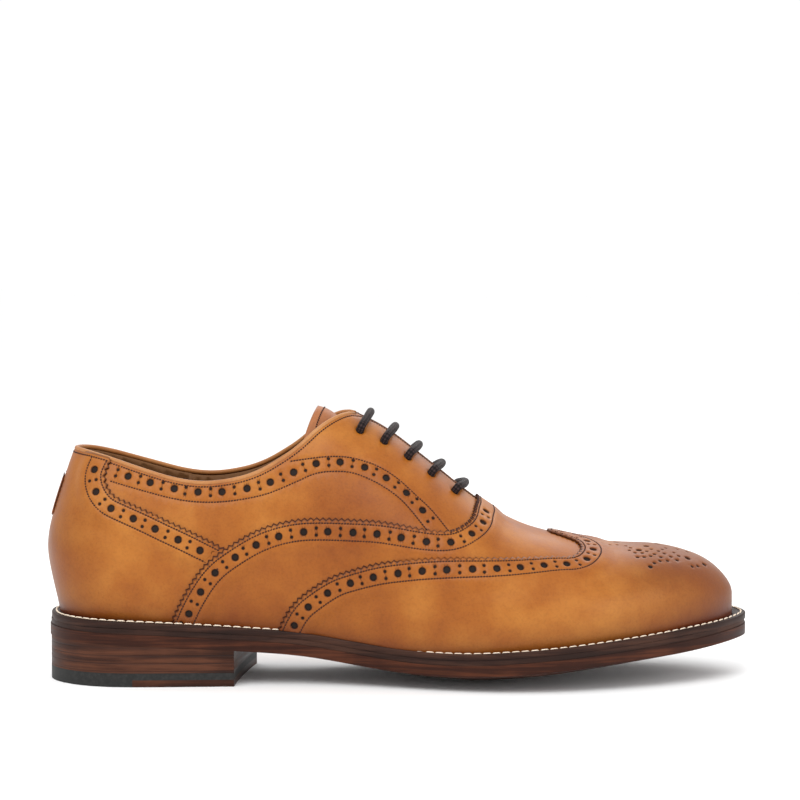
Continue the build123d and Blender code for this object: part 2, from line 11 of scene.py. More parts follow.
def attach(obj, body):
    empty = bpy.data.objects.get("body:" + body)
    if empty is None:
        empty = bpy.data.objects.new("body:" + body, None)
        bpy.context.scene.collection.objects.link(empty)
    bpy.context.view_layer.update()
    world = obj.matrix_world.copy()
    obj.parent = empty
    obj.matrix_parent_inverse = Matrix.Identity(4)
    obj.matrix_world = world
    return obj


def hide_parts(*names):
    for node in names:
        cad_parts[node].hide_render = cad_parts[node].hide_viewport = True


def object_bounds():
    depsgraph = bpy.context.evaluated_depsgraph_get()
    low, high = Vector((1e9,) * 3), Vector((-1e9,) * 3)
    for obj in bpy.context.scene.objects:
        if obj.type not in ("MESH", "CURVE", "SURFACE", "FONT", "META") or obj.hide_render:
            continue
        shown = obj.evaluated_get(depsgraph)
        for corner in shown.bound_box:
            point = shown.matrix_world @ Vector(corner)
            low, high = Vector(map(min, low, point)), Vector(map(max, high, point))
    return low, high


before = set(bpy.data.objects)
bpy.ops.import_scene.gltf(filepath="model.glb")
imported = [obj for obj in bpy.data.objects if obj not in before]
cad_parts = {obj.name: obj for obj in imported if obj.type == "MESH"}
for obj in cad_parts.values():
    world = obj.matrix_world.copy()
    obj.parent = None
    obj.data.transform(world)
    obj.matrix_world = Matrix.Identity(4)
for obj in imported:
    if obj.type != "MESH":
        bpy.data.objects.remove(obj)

CAD_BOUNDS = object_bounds()

# The leather of the shoe is drawn in millimetres on the surface of its last, over two charts.
# A place on the front chart is (u, q): u runs along the shoe and q is the girth, from the ridge
# of the instep down to the lateral (negative) or medial (positive) feather edge. A place on the
# heel chart is (a, z): the length round the heel from the middle of the back, and the height.
# Stations are millimetres along the shoe from its heel end.
MM = 0.001
FLOOR = CAD_BOUNDS[0].z
HALF_LENGTH, SIDE_SHIFT = 155.1, 1.9  # from stations and the last's own middle line to the frame
HEEL_BACK, TOE_TIP = -0.8, 304.8
HEEL_RADIUS, TOE_RADIUS = 31.0, 45.0
SOLE_TO_WELT = 10.2  # from the underside of the sole to the top of the welt
LEATHER = 1.2
FEATHER_DROP = 1.5  # the lasted edge lies this far under the top of the welt
HEEL_RIDGE_END, TOE_RIDGE_START = 30, 260
SIDES = ((-1, "lateral"), (1, "medial"))


def unit(vectors):
    """The vectors at length one."""
    return vectors / np.maximum(np.linalg.norm(vectors, axis=-1, keepdims=True), 1e-9)


def run_length(points):
    """Length along a line of points, at each of them."""
    return np.concatenate([[0], np.cumsum(np.linalg.norm(np.diff(points, axis=0), axis=1))])


# ---------------------------------------------------------------- the last
def smooth(points):
    """A smooth curve through (station, value) points, as a function of an array of stations."""
    xs = np.array([p[0] for p in points], float)
    ys = np.array([p[1] for p in points], float)
    gaps = np.diff(xs)
    rises = np.diff(ys) / gaps
    slopes = np.empty(len(xs))
    slopes[0], slopes[-1] = rises[0], rises[-1]
    slopes[1:-1] = (rises[:-1] * gaps[1:] + rises[1:] * gaps[:-1]) / (gaps[:-1] + gaps[1:])

    def value(station):
        s = np.clip(station, xs[0], xs[-1])
        i = np.clip(np.searchsorted(xs, s, side="right") - 1, 0, len(gaps) - 1)
        t = (s - xs[i]) / gaps[i]
        ends = ys[i] * (1 + 2 * t) * (1 - t) ** 2 + ys[i + 1] * t * t * (3 - 2 * t)
        return ends + gaps[i] * (slopes[i] * t * (1 - t) ** 2 - slopes[i + 1] * t * t * (1 - t))

    return value


CUP_WIDTH = 50.0
sole_height = smooth([(-10, 19.8), (30, 18.4), (60, 17), (87, 15), (113, 12.2), (135, 8), (156, 3.6),
                      (175, 0.9), (190, 0), (207, 0.6), (233, 3.8), (250, 6.8), (268, 10.2),
                      (287, 13.7), (315, 17.5)])
sole_cup = smooth([(-10, 0), (60, 0.3), (87, 0.8), (113, 2.5), (135, 4), (156, 5.4), (190, 6.5),
                   (233, 6.3), (287, 5.5), (315, 5)])
middle = smooth([(0, 0), (60, 0.5), (130, 0.5), (200, 2), (260, 5), (285, 7), (305, 8)])
lateral_width = smooth([(0, 33), (30, 33), (50, 34.3), (87, 35), (113, 35.5), (135, 38), (156, 43.3),
                        (181, 49.5), (200, 52), (220, 51), (240, 47.8), (260, 41.7), (280, 36),
                        (295, 31), (305, 26)])
medial_width = smooth([(0, 33), (87, 33), (113, 32.5), (135, 32.5), (156, 35.8), (181, 41.3),
                       (200, 44.3), (220, 44), (240, 40.8), (260, 34.3), (280, 27), (295, 21),
                       (305, 17.5)])
feather_inset = smooth([(0, 4), (30, 5), (50, 3.5), (87, 4.5), (113, 4), (135, 2), (200, 2), (280, 1.5),
                        (305, 1)])
side_height = smooth([(0, 57), (60, 55), (87, 54), (113, 50), (135, 45), (156, 38), (181, 31), (200, 29),
                      (220, 29), (240, 31), (260, 33), (305, 35.4)])
heel_ridge = smooth([(-0.8, 57.8), (-0.4, 62.5), (0.2, 66.7), (2, 73.4), (4.7, 82.4), (7.5, 90.4),
                     (11.5, 101.5), (15, 108.5), (20, 116), (30, 122)])
instep_ridge = smooth([(30, 122), (50, 124.5), (70, 126), (100, 128), (115, 127), (125, 124.5),
                       (131, 121.5), (136.4, 118), (147, 112.6), (168.3, 96.6), (189.7, 79.4),
                       (200, 72.6), (211, 67.2), (221.8, 64), (232.5, 61.5), (243, 59.6), (260, 58.4)])
toe_rise = smooth([(260, 25.4), (281, 24.3), (296, 23.3), (305, 20)])
squareness = smooth([(0, 2), (12, 1.6), (20, 1.4), (45, 1.55), (70, 1.6), (100, 1.9), (130, 2),
                     (175, 1.9), (220, 2), (250, 2.1), (280, 2.2), (305, 2.2)])

HEEL_ARC = HEEL_RADIUS * pi / 2
TOE_START = TOE_TIP - TOE_RADIUS
TOE_U = HEEL_ARC + TOE_START - (HEEL_BACK + HEEL_RADIUS)
U_END = TOE_U + TOE_RADIUS * pi / 2


def station_of(u):
    """Station along the shoe of a length along its side, which turns round heel and toe."""
    u = np.asarray(u, float)
    heel = HEEL_BACK + HEEL_RADIUS * (1 - np.cos(np.clip(u, 0, HEEL_ARC) / HEEL_RADIUS))
    straight = np.clip(u - HEEL_ARC, 0, TOE_U - HEEL_ARC)
    toe = TOE_RADIUS * np.sin(np.clip(u - TOE_U, 0, TOE_RADIUS * pi / 2) / TOE_RADIUS)
    return heel + straight + toe


def length_of(station):
    """The length along the side at a station: station_of the other way round."""
    s = np.asarray(station, float)
    heel = HEEL_RADIUS * np.arccos(np.clip(1 - (s - HEEL_BACK) / HEEL_RADIUS, -1, 1))
    straight = HEEL_ARC + s - (HEEL_BACK + HEEL_RADIUS)
    toe = TOE_U + TOE_RADIUS * np.arcsin(np.clip((s - TOE_START) / TOE_RADIUS, 0, 1))
    return np.where(s < HEEL_BACK + HEEL_RADIUS, heel, np.where(s < TOE_START, straight, toe))


def fullness(station):
    heel = np.clip((station - HEEL_BACK) / HEEL_RADIUS, 0, 1)
    toe = np.clip((TOE_TIP - station) / TOE_RADIUS, 0, 1)
    return np.minimum(np.sqrt(1 - (1 - heel) ** 2), np.sqrt(1 - (1 - toe) ** 2))


def underside(station, side):
    return sole_height(station) + sole_cup(station) * (side / CUP_WIDTH) ** 2


def ridge_height(station):
    front = side_height(station) + toe_rise(station) * fullness(station)
    ahead = np.where(station < TOE_RIDGE_START, instep_ridge(station), front)
    return np.where(station < HEEL_RIDGE_END, heel_ridge(station), ahead)


GIRTH = 72.0  # length that q is given from the ridge to the feather edge
LOW_SHARE = 0.34  # share of the girth below the widest line
HEEL_JOIN = HEEL_BACK + HEEL_RADIUS  # station where the rounded heel meets the straight sides
heel_profile = smooth([(27, 5.0), (31.3, 4.3), (46.6, 0.9), (57.8, -0.8), (66.7, 0.2), (73.4, 2.0),
                       (82.4, 4.7), (90.4, 7.5), (101.5, 11.5), (110, 16), (119, 24)])


def section(s, side):
    """Half widths at the widest line and the feather edge, and their heights feather first, on a side."""
    full = np.maximum(fullness(s), 0.02)
    wide = np.where(side < 0, lateral_width(s), medial_width(s)) * full
    feather = np.maximum(wide - feather_inset(s) * full, 0.3)
    low = underside(s, middle(s) + side * feather) + SOLE_TO_WELT - FEATHER_DROP
    return wide, feather, low, side_height(s)


def wall(station, z, side):
    """Distance from the middle line to the upper's wall at a height, on a side (-1 or 1)."""
    s = np.asarray(station, float)
    wide, feather, low, level = section(s, side)
    power = squareness(s)
    rise = np.clip((z - level) / np.maximum(ridge_height(s) - level, 1.0), 0, 1)
    drop = np.clip((level - z) / (level - low), 0, 1.1)
    above = wide * (1 - rise**power) ** (1 / power)
    below = feather + (wide - feather) * np.sqrt(np.clip(1 - drop**2, 0, 1))
    return np.where(z > level, above, below)


def around_heel(station, z, side):
    """The wall's distance behind the heel join, where each level slice is a half ellipse."""
    back = heel_profile(z)
    share = np.clip((HEEL_JOIN - station) / (HEEL_JOIN - back), 0, 1)
    return wall(np.full_like(share, HEEL_JOIN), z, side) * np.sqrt(1 - share**2)


def place(u, q):
    """Points (x, y, z) on the outer surface of the upper, in millimetres."""
    u, q = np.asarray(u, float), np.asarray(q, float)
    s = station_of(u)
    side = np.where(q < 0, -1.0, 1.0)
    wide, feather, low, level = section(s, side)
    t = np.clip(np.abs(q) / GIRTH, 0, 1.03)
    split = 1 - LOW_SHARE
    turn = np.clip(1 - t / split, 0, 1) * pi / 2
    power = 2 / squareness(s)
    down = np.clip((t - split) / LOW_SHARE, 0, 1.1)
    z_up = level + (ridge_height(s) - level) * np.sin(turn) ** power
    z = np.where(t < split, z_up, level + (low - level) * down)
    y_down = feather + (wide - feather) * np.sqrt(np.clip(1 - down**2, 0, 1))
    y = np.where(t < split, wide * np.cos(turn) ** power, y_down)
    y = np.where(s < HEEL_JOIN, around_heel(s, z, side), y)
    return np.stack([s - HALF_LENGTH, SIDE_SHIFT + middle(s) + side * y, z], -1)


def place_wall(a, z):
    """Points of the walls round the heel: a is the length from the middle of the back."""
    a, z = np.asarray(a, float), np.asarray(z, float)
    side = np.where(a < 0, -1.0, 1.0)
    theta = np.clip(np.abs(a) / HEEL_ARC, 0, 1) * pi / 2
    back = heel_profile(z)
    behind = np.abs(a) < HEEL_ARC
    s = np.where(behind, HEEL_JOIN - (HEEL_JOIN - back) * np.cos(theta), HEEL_JOIN + np.abs(a) - HEEL_ARC)
    y = np.where(behind, wall(np.full_like(s, HEEL_JOIN), z, side) * np.sin(theta), wall(s, z, side))
    return np.stack([s - HALF_LENGTH, SIDE_SHIFT + middle(s) + side * y, z], -1)


def blurred(grid, axis, reach):
    """The grid averaged along one axis, with its edges held."""
    steps = np.arange(-3 * reach, 3 * reach + 1)
    weights = np.exp(-0.5 * (steps / reach) ** 2)
    weights /= weights.sum()
    width = [(0, 0)] * grid.ndim
    width[axis] = (3 * reach, 3 * reach)
    padded = np.pad(grid, width, mode="reflect", reflect_type="odd")
    size = grid.shape[axis]
    shifted = [np.take(padded, np.arange(k, k + size), axis=axis) for k in range(len(steps))]
    return sum(weight * part for weight, part in zip(weights, shifted))


SLANT_VIEW = (0.0, sqrt(0.5), sqrt(0.5), -SIDE_SHIFT * sqrt(0.5))  # height seen from 45 degrees above
SIDE_VIEW = (0.0, 0.0, 1.0, 0.0)  # height seen straight from the side


class Chart:
    """A smooth table of surface points over two drawing coordinates."""

    def __init__(self, point_at, u_range, v_range, outward, flip):
        self.origin = np.array([u_range[0], v_range[0]], float)
        u_line = np.arange(u_range[0], u_range[1] + 1.0)
        v_line = np.arange(v_range[0], v_range[1] + 1.0)
        table = point_at(*np.meshgrid(u_line, v_line, indexing="ij"))
        self.points = blurred(blurred(table, 0, 3), 1, 3)
        self.d_u, self.d_v = np.gradient(self.points, axis=0), np.gradient(self.points, axis=1)
        self.normals = unit(np.cross(self.d_u, self.d_v) * outward)
        self.outward = outward
        self.flip = np.array(flip, float)

    def read(self, table, at):
        """A table's values at places of the chart, between its nodes."""
        size = np.array(table.shape[:2]) - 1.001
        cell = np.clip(np.asarray(at, float) - self.origin, 0, size)
        i, j = cell[..., 0].astype(int), cell[..., 1].astype(int)
        f, g = (cell[..., 0] - i)[..., None], (cell[..., 1] - j)[..., None]
        near = table[i, j] * (1 - g) + table[i, j + 1] * g
        far = table[i + 1, j] * (1 - g) + table[i + 1, j + 1] * g
        return near * (1 - f) + far * f

    def spots(self, at):
        return self.read(self.points, at)

    def normal(self, at):
        return unit(self.read(self.normals, at))

    def lifted(self, at, lift=0.0):
        """Points lifted off the surface by some millimetres."""
        return self.spots(at) + self.normal(at) * np.asarray(lift, float)[..., None]

    def flat(self, at, step):
        """The move over the chart that makes a small step in space."""
        du, dv = self.read(self.d_u, at), self.read(self.d_v, at)
        uu, uv, vv = (du * du).sum(-1), (du * dv).sum(-1), (dv * dv).sum(-1)
        su, sv = (step * du).sum(-1), (step * dv).sum(-1)
        scale = np.maximum(uu * vv - uv * uv, 1e-6)
        return np.stack([(vv * su - uv * sv) / scale, (uu * sv - uv * su) / scale], -1)

    def find(self, wanted, view, guess):
        """Places whose station and height in a view are the wanted ones."""
        at = np.array(guess, float)
        lens = np.array(view[:3])
        for _ in range(30):
            point = self.spots(at)
            miss = wanted - np.stack([point[:, 0] + HALF_LENGTH, point @ lens + view[3]], -1)
            du, dv = self.read(self.d_u, at), self.read(self.d_v, at)
            slopes = np.array([[du[:, 0], dv[:, 0]], [du @ lens, dv @ lens]]).transpose(2, 0, 1)
            slopes = slopes + np.eye(2) * 0.02
            move = np.linalg.solve(slopes, miss[..., None])[..., 0]
            at += np.clip(move, -6, 6) * 0.8
            at = np.clip(at, self.origin, self.origin + np.array(self.points.shape[:2]) - 1.01)
        return at


def places_at_u(u, start, end, count):
    """Chart places at one u, evenly spaced from one v to another."""
    return np.stack([np.full(count, float(u)), np.linspace(start, end, count)], -1)


def places_at_v(u_line, v):
    """Chart places at one v, for a line of us."""
    return np.stack([u_line, np.full(len(u_line), float(v))], -1)


FRONT = Chart(place, (0, U_END - 0.5), (-GIRTH - 2, GIRTH + 2), 1, (1, -1))
HEEL_WALL = Chart(place_wall, (-190, 190), (24, 126), -1, (-1, 1))


# ---------------------------------------------------------------- lines drawn on the leather
def curve_through(points, parts=12):
    """A dense smooth line through a few points."""
    p = np.asarray(points, float)
    p = np.vstack([2 * p[0] - p[1], p, 2 * p[-1] - p[-2]])
    t = np.linspace(0, 1, parts, endpoint=False)[:, None]
    pieces = []
    for a, b, c, d in zip(p, p[1:], p[2:], p[3:]):
        bend = (2 * a - 5 * b + 4 * c - d) * t**2 + (3 * b - a - 3 * c + d) * t**3
        pieces.append(b + 0.5 * ((c - a) * t + bend))
    return np.vstack(pieces + [p[-2:-1]])


def even(chart, line, step=1.0):
    """The line cut into equal steps of some millimetres along the surface."""
    points = chart.spots(line)
    run = run_length(points)
    count = max(int(round(run[-1] / step)), 1)
    marks = np.linspace(0, run[-1], count + 1)
    return np.stack([np.interp(marks, run, line[:, 0]), np.interp(marks, run, line[:, 1])], -1)


def headings(chart, line):
    """Unit directions along a line over the surface, and square to it on its left."""
    ahead = np.gradient(line, axis=0)
    run = chart.read(chart.d_u, line) * ahead[:, :1] + chart.read(chart.d_v, line) * ahead[:, 1:]
    run = unit(run)
    return run, np.cross(chart.normal(line), run)


def beside(chart, line, distance):
    """The line moved to its left over the surface by some millimetres."""
    left = headings(chart, line)[1]
    steps = 1 + int(np.max(np.abs(distance)) / 3)  # none longer than 3 mm
    moved = line.copy()
    for _ in range(steps):
        moved = moved + chart.flat(moved, left * (np.asarray(distance) / steps).reshape(-1, 1))
    return moved


def on_front(points, view=SLANT_VIEW):
    """A seam of the lateral side, from (station, height) points, on the front chart."""
    dense = curve_through(points)
    guess = places_at_v(length_of(dense[:, 0]), -GIRTH / 2)
    return even(FRONT, FRONT.find(dense, view, guess))


def on_wall(points):
    """A seam of the lateral side, from (station, height) points, on the heel chart."""
    dense = curve_through(points)
    guess = places_at_v(-(dense[:, 0] + HEEL_ARC - HEEL_JOIN), 65)
    return even(HEEL_WALL, HEEL_WALL.find(dense, SLANT_VIEW, guess))


def for_side(chart, line, side):
    """A lateral line, or its mirror image for the medial side."""
    return line if side < 0 else line * chart.flip


def there_and_back(chart, line):
    """A lateral line joined to its medial mirror image at its far end."""
    return np.vstack([line, for_side(chart, line, 1)[::-1]])


def holes_for_side(chart, holes, side):
    return [(for_side(chart, at, side), radius) for at, radius in holes]


def both_sides(chart, holes):
    return [hole for side, _ in SIDES for hole in holes_for_side(chart, holes, side)]


def gimped(chart, line, pitch=2.7, depth=1.15):
    """The line cut into small teeth that lie to its right."""
    teeth = even(chart, line, pitch / 2)
    return beside(chart, teeth, np.where(np.arange(len(teeth)) % 2 == 0, 0.0, -depth))


VAMP_EDGE = [(55.5, -4), (62.9, 5.3), (70.7, 12.9), (79.8, 18.3), (92.8, 24.1), (106.2, 27.4),
             (120, 28.1), (143, 26.4), (166.2, 22.8), (177, 23.1), (183.2, 27.6), (186.8, 33.9),
             (188.4, 43.2), (189.3, 49)]
VAMP_LAP = [(79.8, 9.9), (88.5, 15.3), (101.9, 20.1), (114.9, 21.4), (131.7, 20.7), (154.6, 16.4),
            (166.2, 14.4), (177.8, 14.8), (186.5, 18.3), (192.3, 24.7), (197.1, 37), (198, 44)]
WING_EDGE = [(101, -7), (108.3, 0.5), (115.3, 4.5), (125.7, 8.4), (135.6, 10.1), (146, 10.9),
             (160.2, 11), (180, 11.4), (199, 13.2), (221.4, 18.6), (229.4, 20.2), (233.1, 23.4),
             (234.9, 29.3), (233.1, 35.5), (228.5, 39.4), (222, 43.5)]
WING_LAP = [(110, -9), (116, -3), (125.7, 1), (137, 4), (150, 5), (168, 4.6), (190.2, 4.5),
            (205.7, 5.4), (221, 8), (231.6, 11.7), (239, 19.1), (242.7, 27.6), (242.4, 34.1), (240.5, 40)]
COUNTER_EDGE = [(29.8, 54.2), (27.7, 47.9), (30.6, 41.2), (36.9, 37.1), (53.3, 29.6), (66.4, 24.3),
                (82, 17.8)]
COUNTER_LAP = [(21, 57.4), (19.6, 49), (20.4, 42), (25.1, 34.4), (35.4, 28.7), (48.6, 23.5),
               (62.1, 18.5), (74, 11)]
TOPLINE = [(22, 99.7), (26.4, 98.8), (43, 93.7), (58.7, 89.4), (71.5, 88.1), (84.7, 89.8), (95.2, 93.3),
           (105.5, 99.2), (112.5, 104.3), (119.5, 110.6), (125, 114.4), (130, 116.7), (134, 117.4)]
BAND_LOWER = [(29.5, 46.3), (43.9, 40.8), (57.5, 37.1), (70.5, 35.4), (84, 35.4), (97.5, 37.2),
              (110.4, 41.5), (119, 44.7), (127.3, 45.7), (136, 45.3), (145.5, 41.8), (154.6, 36.4),
              (160.2, 31.2), (167.5, 22.5)]
BAND_UPPER = [(108.2, 49.8), (116.8, 50.9), (127.2, 52), (135.9, 51.9), (145.5, 49.6), (154.6, 44.9),
              (163.3, 37.8), (169.8, 32), (177, 23.1)]
topline_height = smooth([(-14, 101.3), (11.5, 101.6), (13.8, 101.4)] + TOPLINE[1:])
FACING_GAP = 3.0
EYELET_STATIONS = [138.4, 149.0, 159.4, 169.6, 180.0]
EYELET_OFFSET = 16.0

vamp_line = on_front(VAMP_EDGE)
wing_line = on_front(WING_EDGE)
counter_line = on_wall(COUNTER_EDGE)
topline = on_front(TOPLINE, SIDE_VIEW)
band_lower, band_upper = on_front(BAND_LOWER), on_front(BAND_UPPER)
facing = places_at_v(length_of(np.linspace(138, 196, 60)), -FACING_GAP)


def new_object(name, vertices, faces, material, body="shoe"):
    """A smooth-shaded piece from points in millimetres, riding on a body."""
    mesh = bpy.data.meshes.new(name)
    mesh.from_pydata((np.asarray(vertices) * MM).tolist(), [], [list(map(int, face)) for face in faces])
    mesh.materials.append(material)
    mesh.shade_smooth()
    piece = bpy.data.objects.new(name, mesh)
    bpy.context.scene.collection.objects.link(piece)
    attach(piece, body)
    return piece


def set_numbers(piece, name, values):
    """Store one number per vertex for the materials to read."""
    attribute = piece.data.attributes.new(name, "FLOAT", "POINT")
    attribute.data.foreach_set("value", np.asarray(values, dtype=np.float32))


def tree_of(points):
    tree = KDTree(len(points))
    for number, point in enumerate(points):
        tree.insert(point, number)
    tree.balance()
    return tree


def gaps(tree, points):
    """Distance from each point to the nearest point of a tree."""
    return np.array([tree.find(point)[2] for point in points])


def inside(loop, points):
    """Which points lie inside a closed loop, in chart coordinates."""
    a, b = loop, np.roll(loop, -1, axis=0)
    hit = np.zeros(len(points), bool)
    for (ax, ay), (bx, by) in zip(a, b):
        if ay == by:
            continue
        crosses = (points[:, 1] < ay) != (points[:, 1] < by)
        hit ^= crosses & (points[:, 0] < ax + (points[:, 1] - ay) * (bx - ax) / (by - ay))
    return hit


def ring_round(chart, centre, radius, count):
    """A round ring on the leather, in chart coordinates."""
    centre = np.asarray(centre, float)
    run = unit(chart.read(chart.d_u, centre))
    left = np.cross(chart.normal(centre), run)
    turn = np.linspace(0, 2 * pi, count, endpoint=False)[:, None]
    step = radius * (np.cos(turn) * run + np.sin(turn) * left)
    return centre + chart.flat(np.repeat(centre[None], count, 0), step)


def grid_inside(chart, loop, spacing):
    """Places about evenly spaced over the leather inside a loop."""
    low, high = loop.min(0), loop.max(0)
    rows, u, odd = [], low[0], 0
    while u < high[0]:
        stretch = np.linalg.norm(chart.read(chart.d_u, places_at_u(u, low[1], high[1], 40)), axis=1)
        v = np.arange(low[1] + odd * spacing / 2, high[1], spacing)
        rows.append(np.stack([np.full(len(v), u), v], -1))
        u += 0.87 * spacing / max(np.percentile(stretch, 70), 0.5)
        odd = 1 - odd
    places = np.vstack(rows)
    return places[inside(loop, places)]


def no_long_edges(loop, longest=3.0):
    """The loop with more points on its long edges, so that they follow the leather."""
    parts = []
    for a, b in zip(loop, np.roll(loop, -1, axis=0)):
        count = max(int(np.ceil(np.linalg.norm(b - a) / longest)), 1)
        parts.append(a + (b - a) * np.linspace(0, 1, count, endpoint=False)[:, None])
    return np.vstack(parts)


def at_level(height):
    """A lift that is the same all over."""
    return lambda points: np.full(len(points), height)


ON_LAST = at_level(0.0)
EDGE_DIP = 0.28  # how far the rounded edge of a piece lies under its face
BIG_SIDES, SMALL_SIDES, RIM_WIDTH, RIM_DIP = 14, 8, 0.42, 0.3  # of the holes
GROOVE = ((0.0, -0.26), (0.62, 0.03), (-0.62, 0.03))  # distances from a stitch row, and heights there


def hole_rings(chart, holes, wider=0.0):
    """The rims of the holes: finer ones for big holes."""
    return [ring_round(chart, centre, radius + wider, BIG_SIDES if radius > 1 else SMALL_SIDES)
            for centre, radius in holes]


def off_holes(chart, holes, points, share, margin):
    """Which points lie outside the holes, scaled by a share and with a margin."""
    free = np.ones(len(points), bool)
    for centre, radius in holes:
        free &= np.linalg.norm(points - chart.spots(centre), axis=1) > radius * share + margin
    return free


def leather_piece(name, chart, loop, material, holes=(), grooves=(), lift=ON_LAST, spacing=1.5,
                  thickness=LEATHER, rim=EDGE_DIP):
    """A cut piece of leather: punched, grooved where it is sewn, and lifted where it laps.

    The loop is its outline; a hole is (place, radius); a groove is a line of places.
    lift gives the height in millimetres of its upper face over the chart.
    """
    loop = no_long_edges(loop)
    places, dips = [loop], [np.full(len(loop), -rim)]
    edges = [(i, (i + 1) % len(loop)) for i in range(len(loop))]
    count = len(loop)
    for ring, halo in zip(hole_rings(chart, holes), hole_rings(chart, holes, RIM_WIDTH)):
        sides = len(ring)
        places += [ring, halo]
        dips += [np.full(sides, -RIM_DIP), np.zeros(sides)]
        edges += [(count + i, count + (i + 1) % sides) for i in range(sides)]
        count += 2 * sides
    fixed = chart.spots(np.vstack(places))
    sewing = [(beside(chart, groove, distance), dip) for groove in grooves for distance, dip in GROOVE]
    for stock, clear in ((sewing, 0.45), ([(grid_inside(chart, loop, spacing), 0.0)], 0.62)):
        if not stock:
            continue
        stock_dips = np.concatenate([np.full(len(line), dip) for line, dip in stock])
        stock = np.vstack([line for line, _ in stock])
        points = chart.spots(stock)
        free = inside(loop, stock) & (gaps(tree_of(fixed), points) > clear)
        free &= off_holes(chart, holes, points, 1.0, 0.5)
        places.append(stock[free])
        dips.append(stock_dips[free])
        fixed = np.vstack([fixed, points[free]])
    places, dips = np.vstack(places), np.concatenate(dips)
    found, _, faces, kept, _, _ = delaunay_2d_cdt([Vector(p) for p in places], edges, [], 0, 1e-5)
    flat = np.array([tuple(p) for p in found])
    dips = np.array([dips[k[0]] if k else 0.0 for k in kept])
    faces = np.array(faces)
    centres = flat[faces].mean(1)
    faces = faces[inside(loop, centres) & off_holes(chart, holes, chart.spots(centres), 0.93, 0.0)]
    corners = flat[faces]
    area = np.cross(corners[:, 1] - corners[:, 0], corners[:, 2] - corners[:, 0])
    faces = faces[np.abs(area) > 1e-6]
    turned = area[np.abs(area) > 1e-6] * chart.outward < 0
    faces[turned] = faces[turned][:, ::-1]
    base = chart.spots(flat)
    height = lift(base)
    top = chart.lifted(flat, height + dips)
    bottom = chart.lifted(flat, height - thickness)
    tied = dict.fromkeys(edge for a, b, c in faces for edge in ((a, b), (b, c), (c, a)))
    walls = [(b, a, a + len(flat), b + len(flat)) for a, b in tied if (b, a) not in tied]
    under = faces[:, ::-1] + len(flat)
    used = list(map(tuple, faces)) + list(map(tuple, under)) + walls
    piece = new_object(name, np.vstack([top, bottom]), used, material)
    cut = np.ones(2 * len(flat))
    cut[:len(flat)] = gaps(tree_of(chart.spots(np.vstack([loop] + hole_rings(chart, holes)))), base) < 0.1
    set_numbers(piece, "cut_edge", cut)
    mesh = bmesh.new()
    mesh.from_mesh(piece.data)
    bmesh.ops.delete(mesh, geom=[v for v in mesh.verts if not v.link_faces], context="VERTS")
    mesh.to_mesh(piece.data)
    mesh.free()
    return piece


def burnish(piece):
    """Mark how much darker the hand-finished leather is: at the welt, the toe, the heel and the medallion."""
    flat = np.empty(len(piece.data.vertices) * 3, np.float32)
    piece.data.vertices.foreach_get("co", flat)
    point = flat.reshape(-1, 3) / MM
    s, side = point[:, 0] + HALF_LENGTH, point[:, 1] - SIDE_SHIFT
    above = point[:, 2] - underside(s, side) - SOLE_TO_WELT
    foot = np.exp(-np.maximum(above, 0) / 5.5)
    toe = np.clip((s - 235) / 65, 0, 1) ** 1.4
    heel = np.clip((34 - s) / 30, 0, 1) * np.clip((112 - point[:, 2]) / 50, 0, 1)
    crown = np.exp(-(((s - 270) / 17) ** 2)) * np.clip((point[:, 2] - side_height(s) - 5) / 8, 0, 1)
    set_numbers(piece, "burnish", np.clip(0.75 * foot + 0.55 * toe + 0.5 * heel + 0.3 * crown, 0, 1))


def ring_faces(rings, sides, wrapped=False):
    """Faces that join each ring of points to the next one."""
    faces = []
    for ring in range(rings if wrapped else rings - 1):
        first, after = ring * sides, (ring + 1) % rings * sides
        for i in range(sides):
            j = (i + 1) % sides
            faces.append((first + i, after + i, after + j, first + j))
    return faces


def capsule(length, width, height, sides=6):
    """Vertices and faces of one small stitch lying along its own x axis."""
    turn = np.linspace(0, 2 * pi, sides, endpoint=False)
    rings = [(-0.5, 0.45, -0.5), (-0.3, 1.0, 0.25), (0.3, 1.0, 0.25), (0.5, 0.45, -0.5)]
    vertices = [np.stack([np.full(sides, x * length), np.cos(turn) * r * width / 2,
                          (np.sin(turn) * r * 0.5 + z * 0.6) * height], -1) for x, r, z in rings]
    last = (len(rings) - 1) * sides
    caps = [tuple(range(sides)), tuple(last + i for i in reversed(range(sides)))]
    return np.vstack(vertices), ring_faces(len(rings), sides) + caps


def stitches(name, rows, material, shape, turn=0.16, body="shoe"):
    """Stitches as one piece: each row is (points, headings, normals) in space."""
    body_points, faces = shape
    vertices, polygons = [], []
    for points, run, normal in rows:
        left = np.cross(normal, run)
        run = run * cos(turn) + left * sin(turn)
        left = np.cross(normal, run)
        for at, x, y, z in zip(points, run, left, normal):
            polygons += [tuple(len(vertices) * len(body_points) + i for i in face) for face in faces]
            vertices.append(at + body_points[:, :1] * x + body_points[:, 1:2] * y + body_points[:, 2:] * z)
    return new_object(name, np.vstack(vertices), polygons, material, body)


THREAD_PITCH, THREAD_SINK = 1.24, 0.12


def sewn(chart, line, lift=ON_LAST, pitch=THREAD_PITCH):
    """Stitch places along a line on the leather."""
    line = even(chart, line, pitch)
    centres = (line[1:] + line[:-1]) / 2
    run = headings(chart, line)[0][:-1]
    return chart.lifted(centres, lift(chart.spots(centres)) - THREAD_SINK), run, chart.normal(centres)


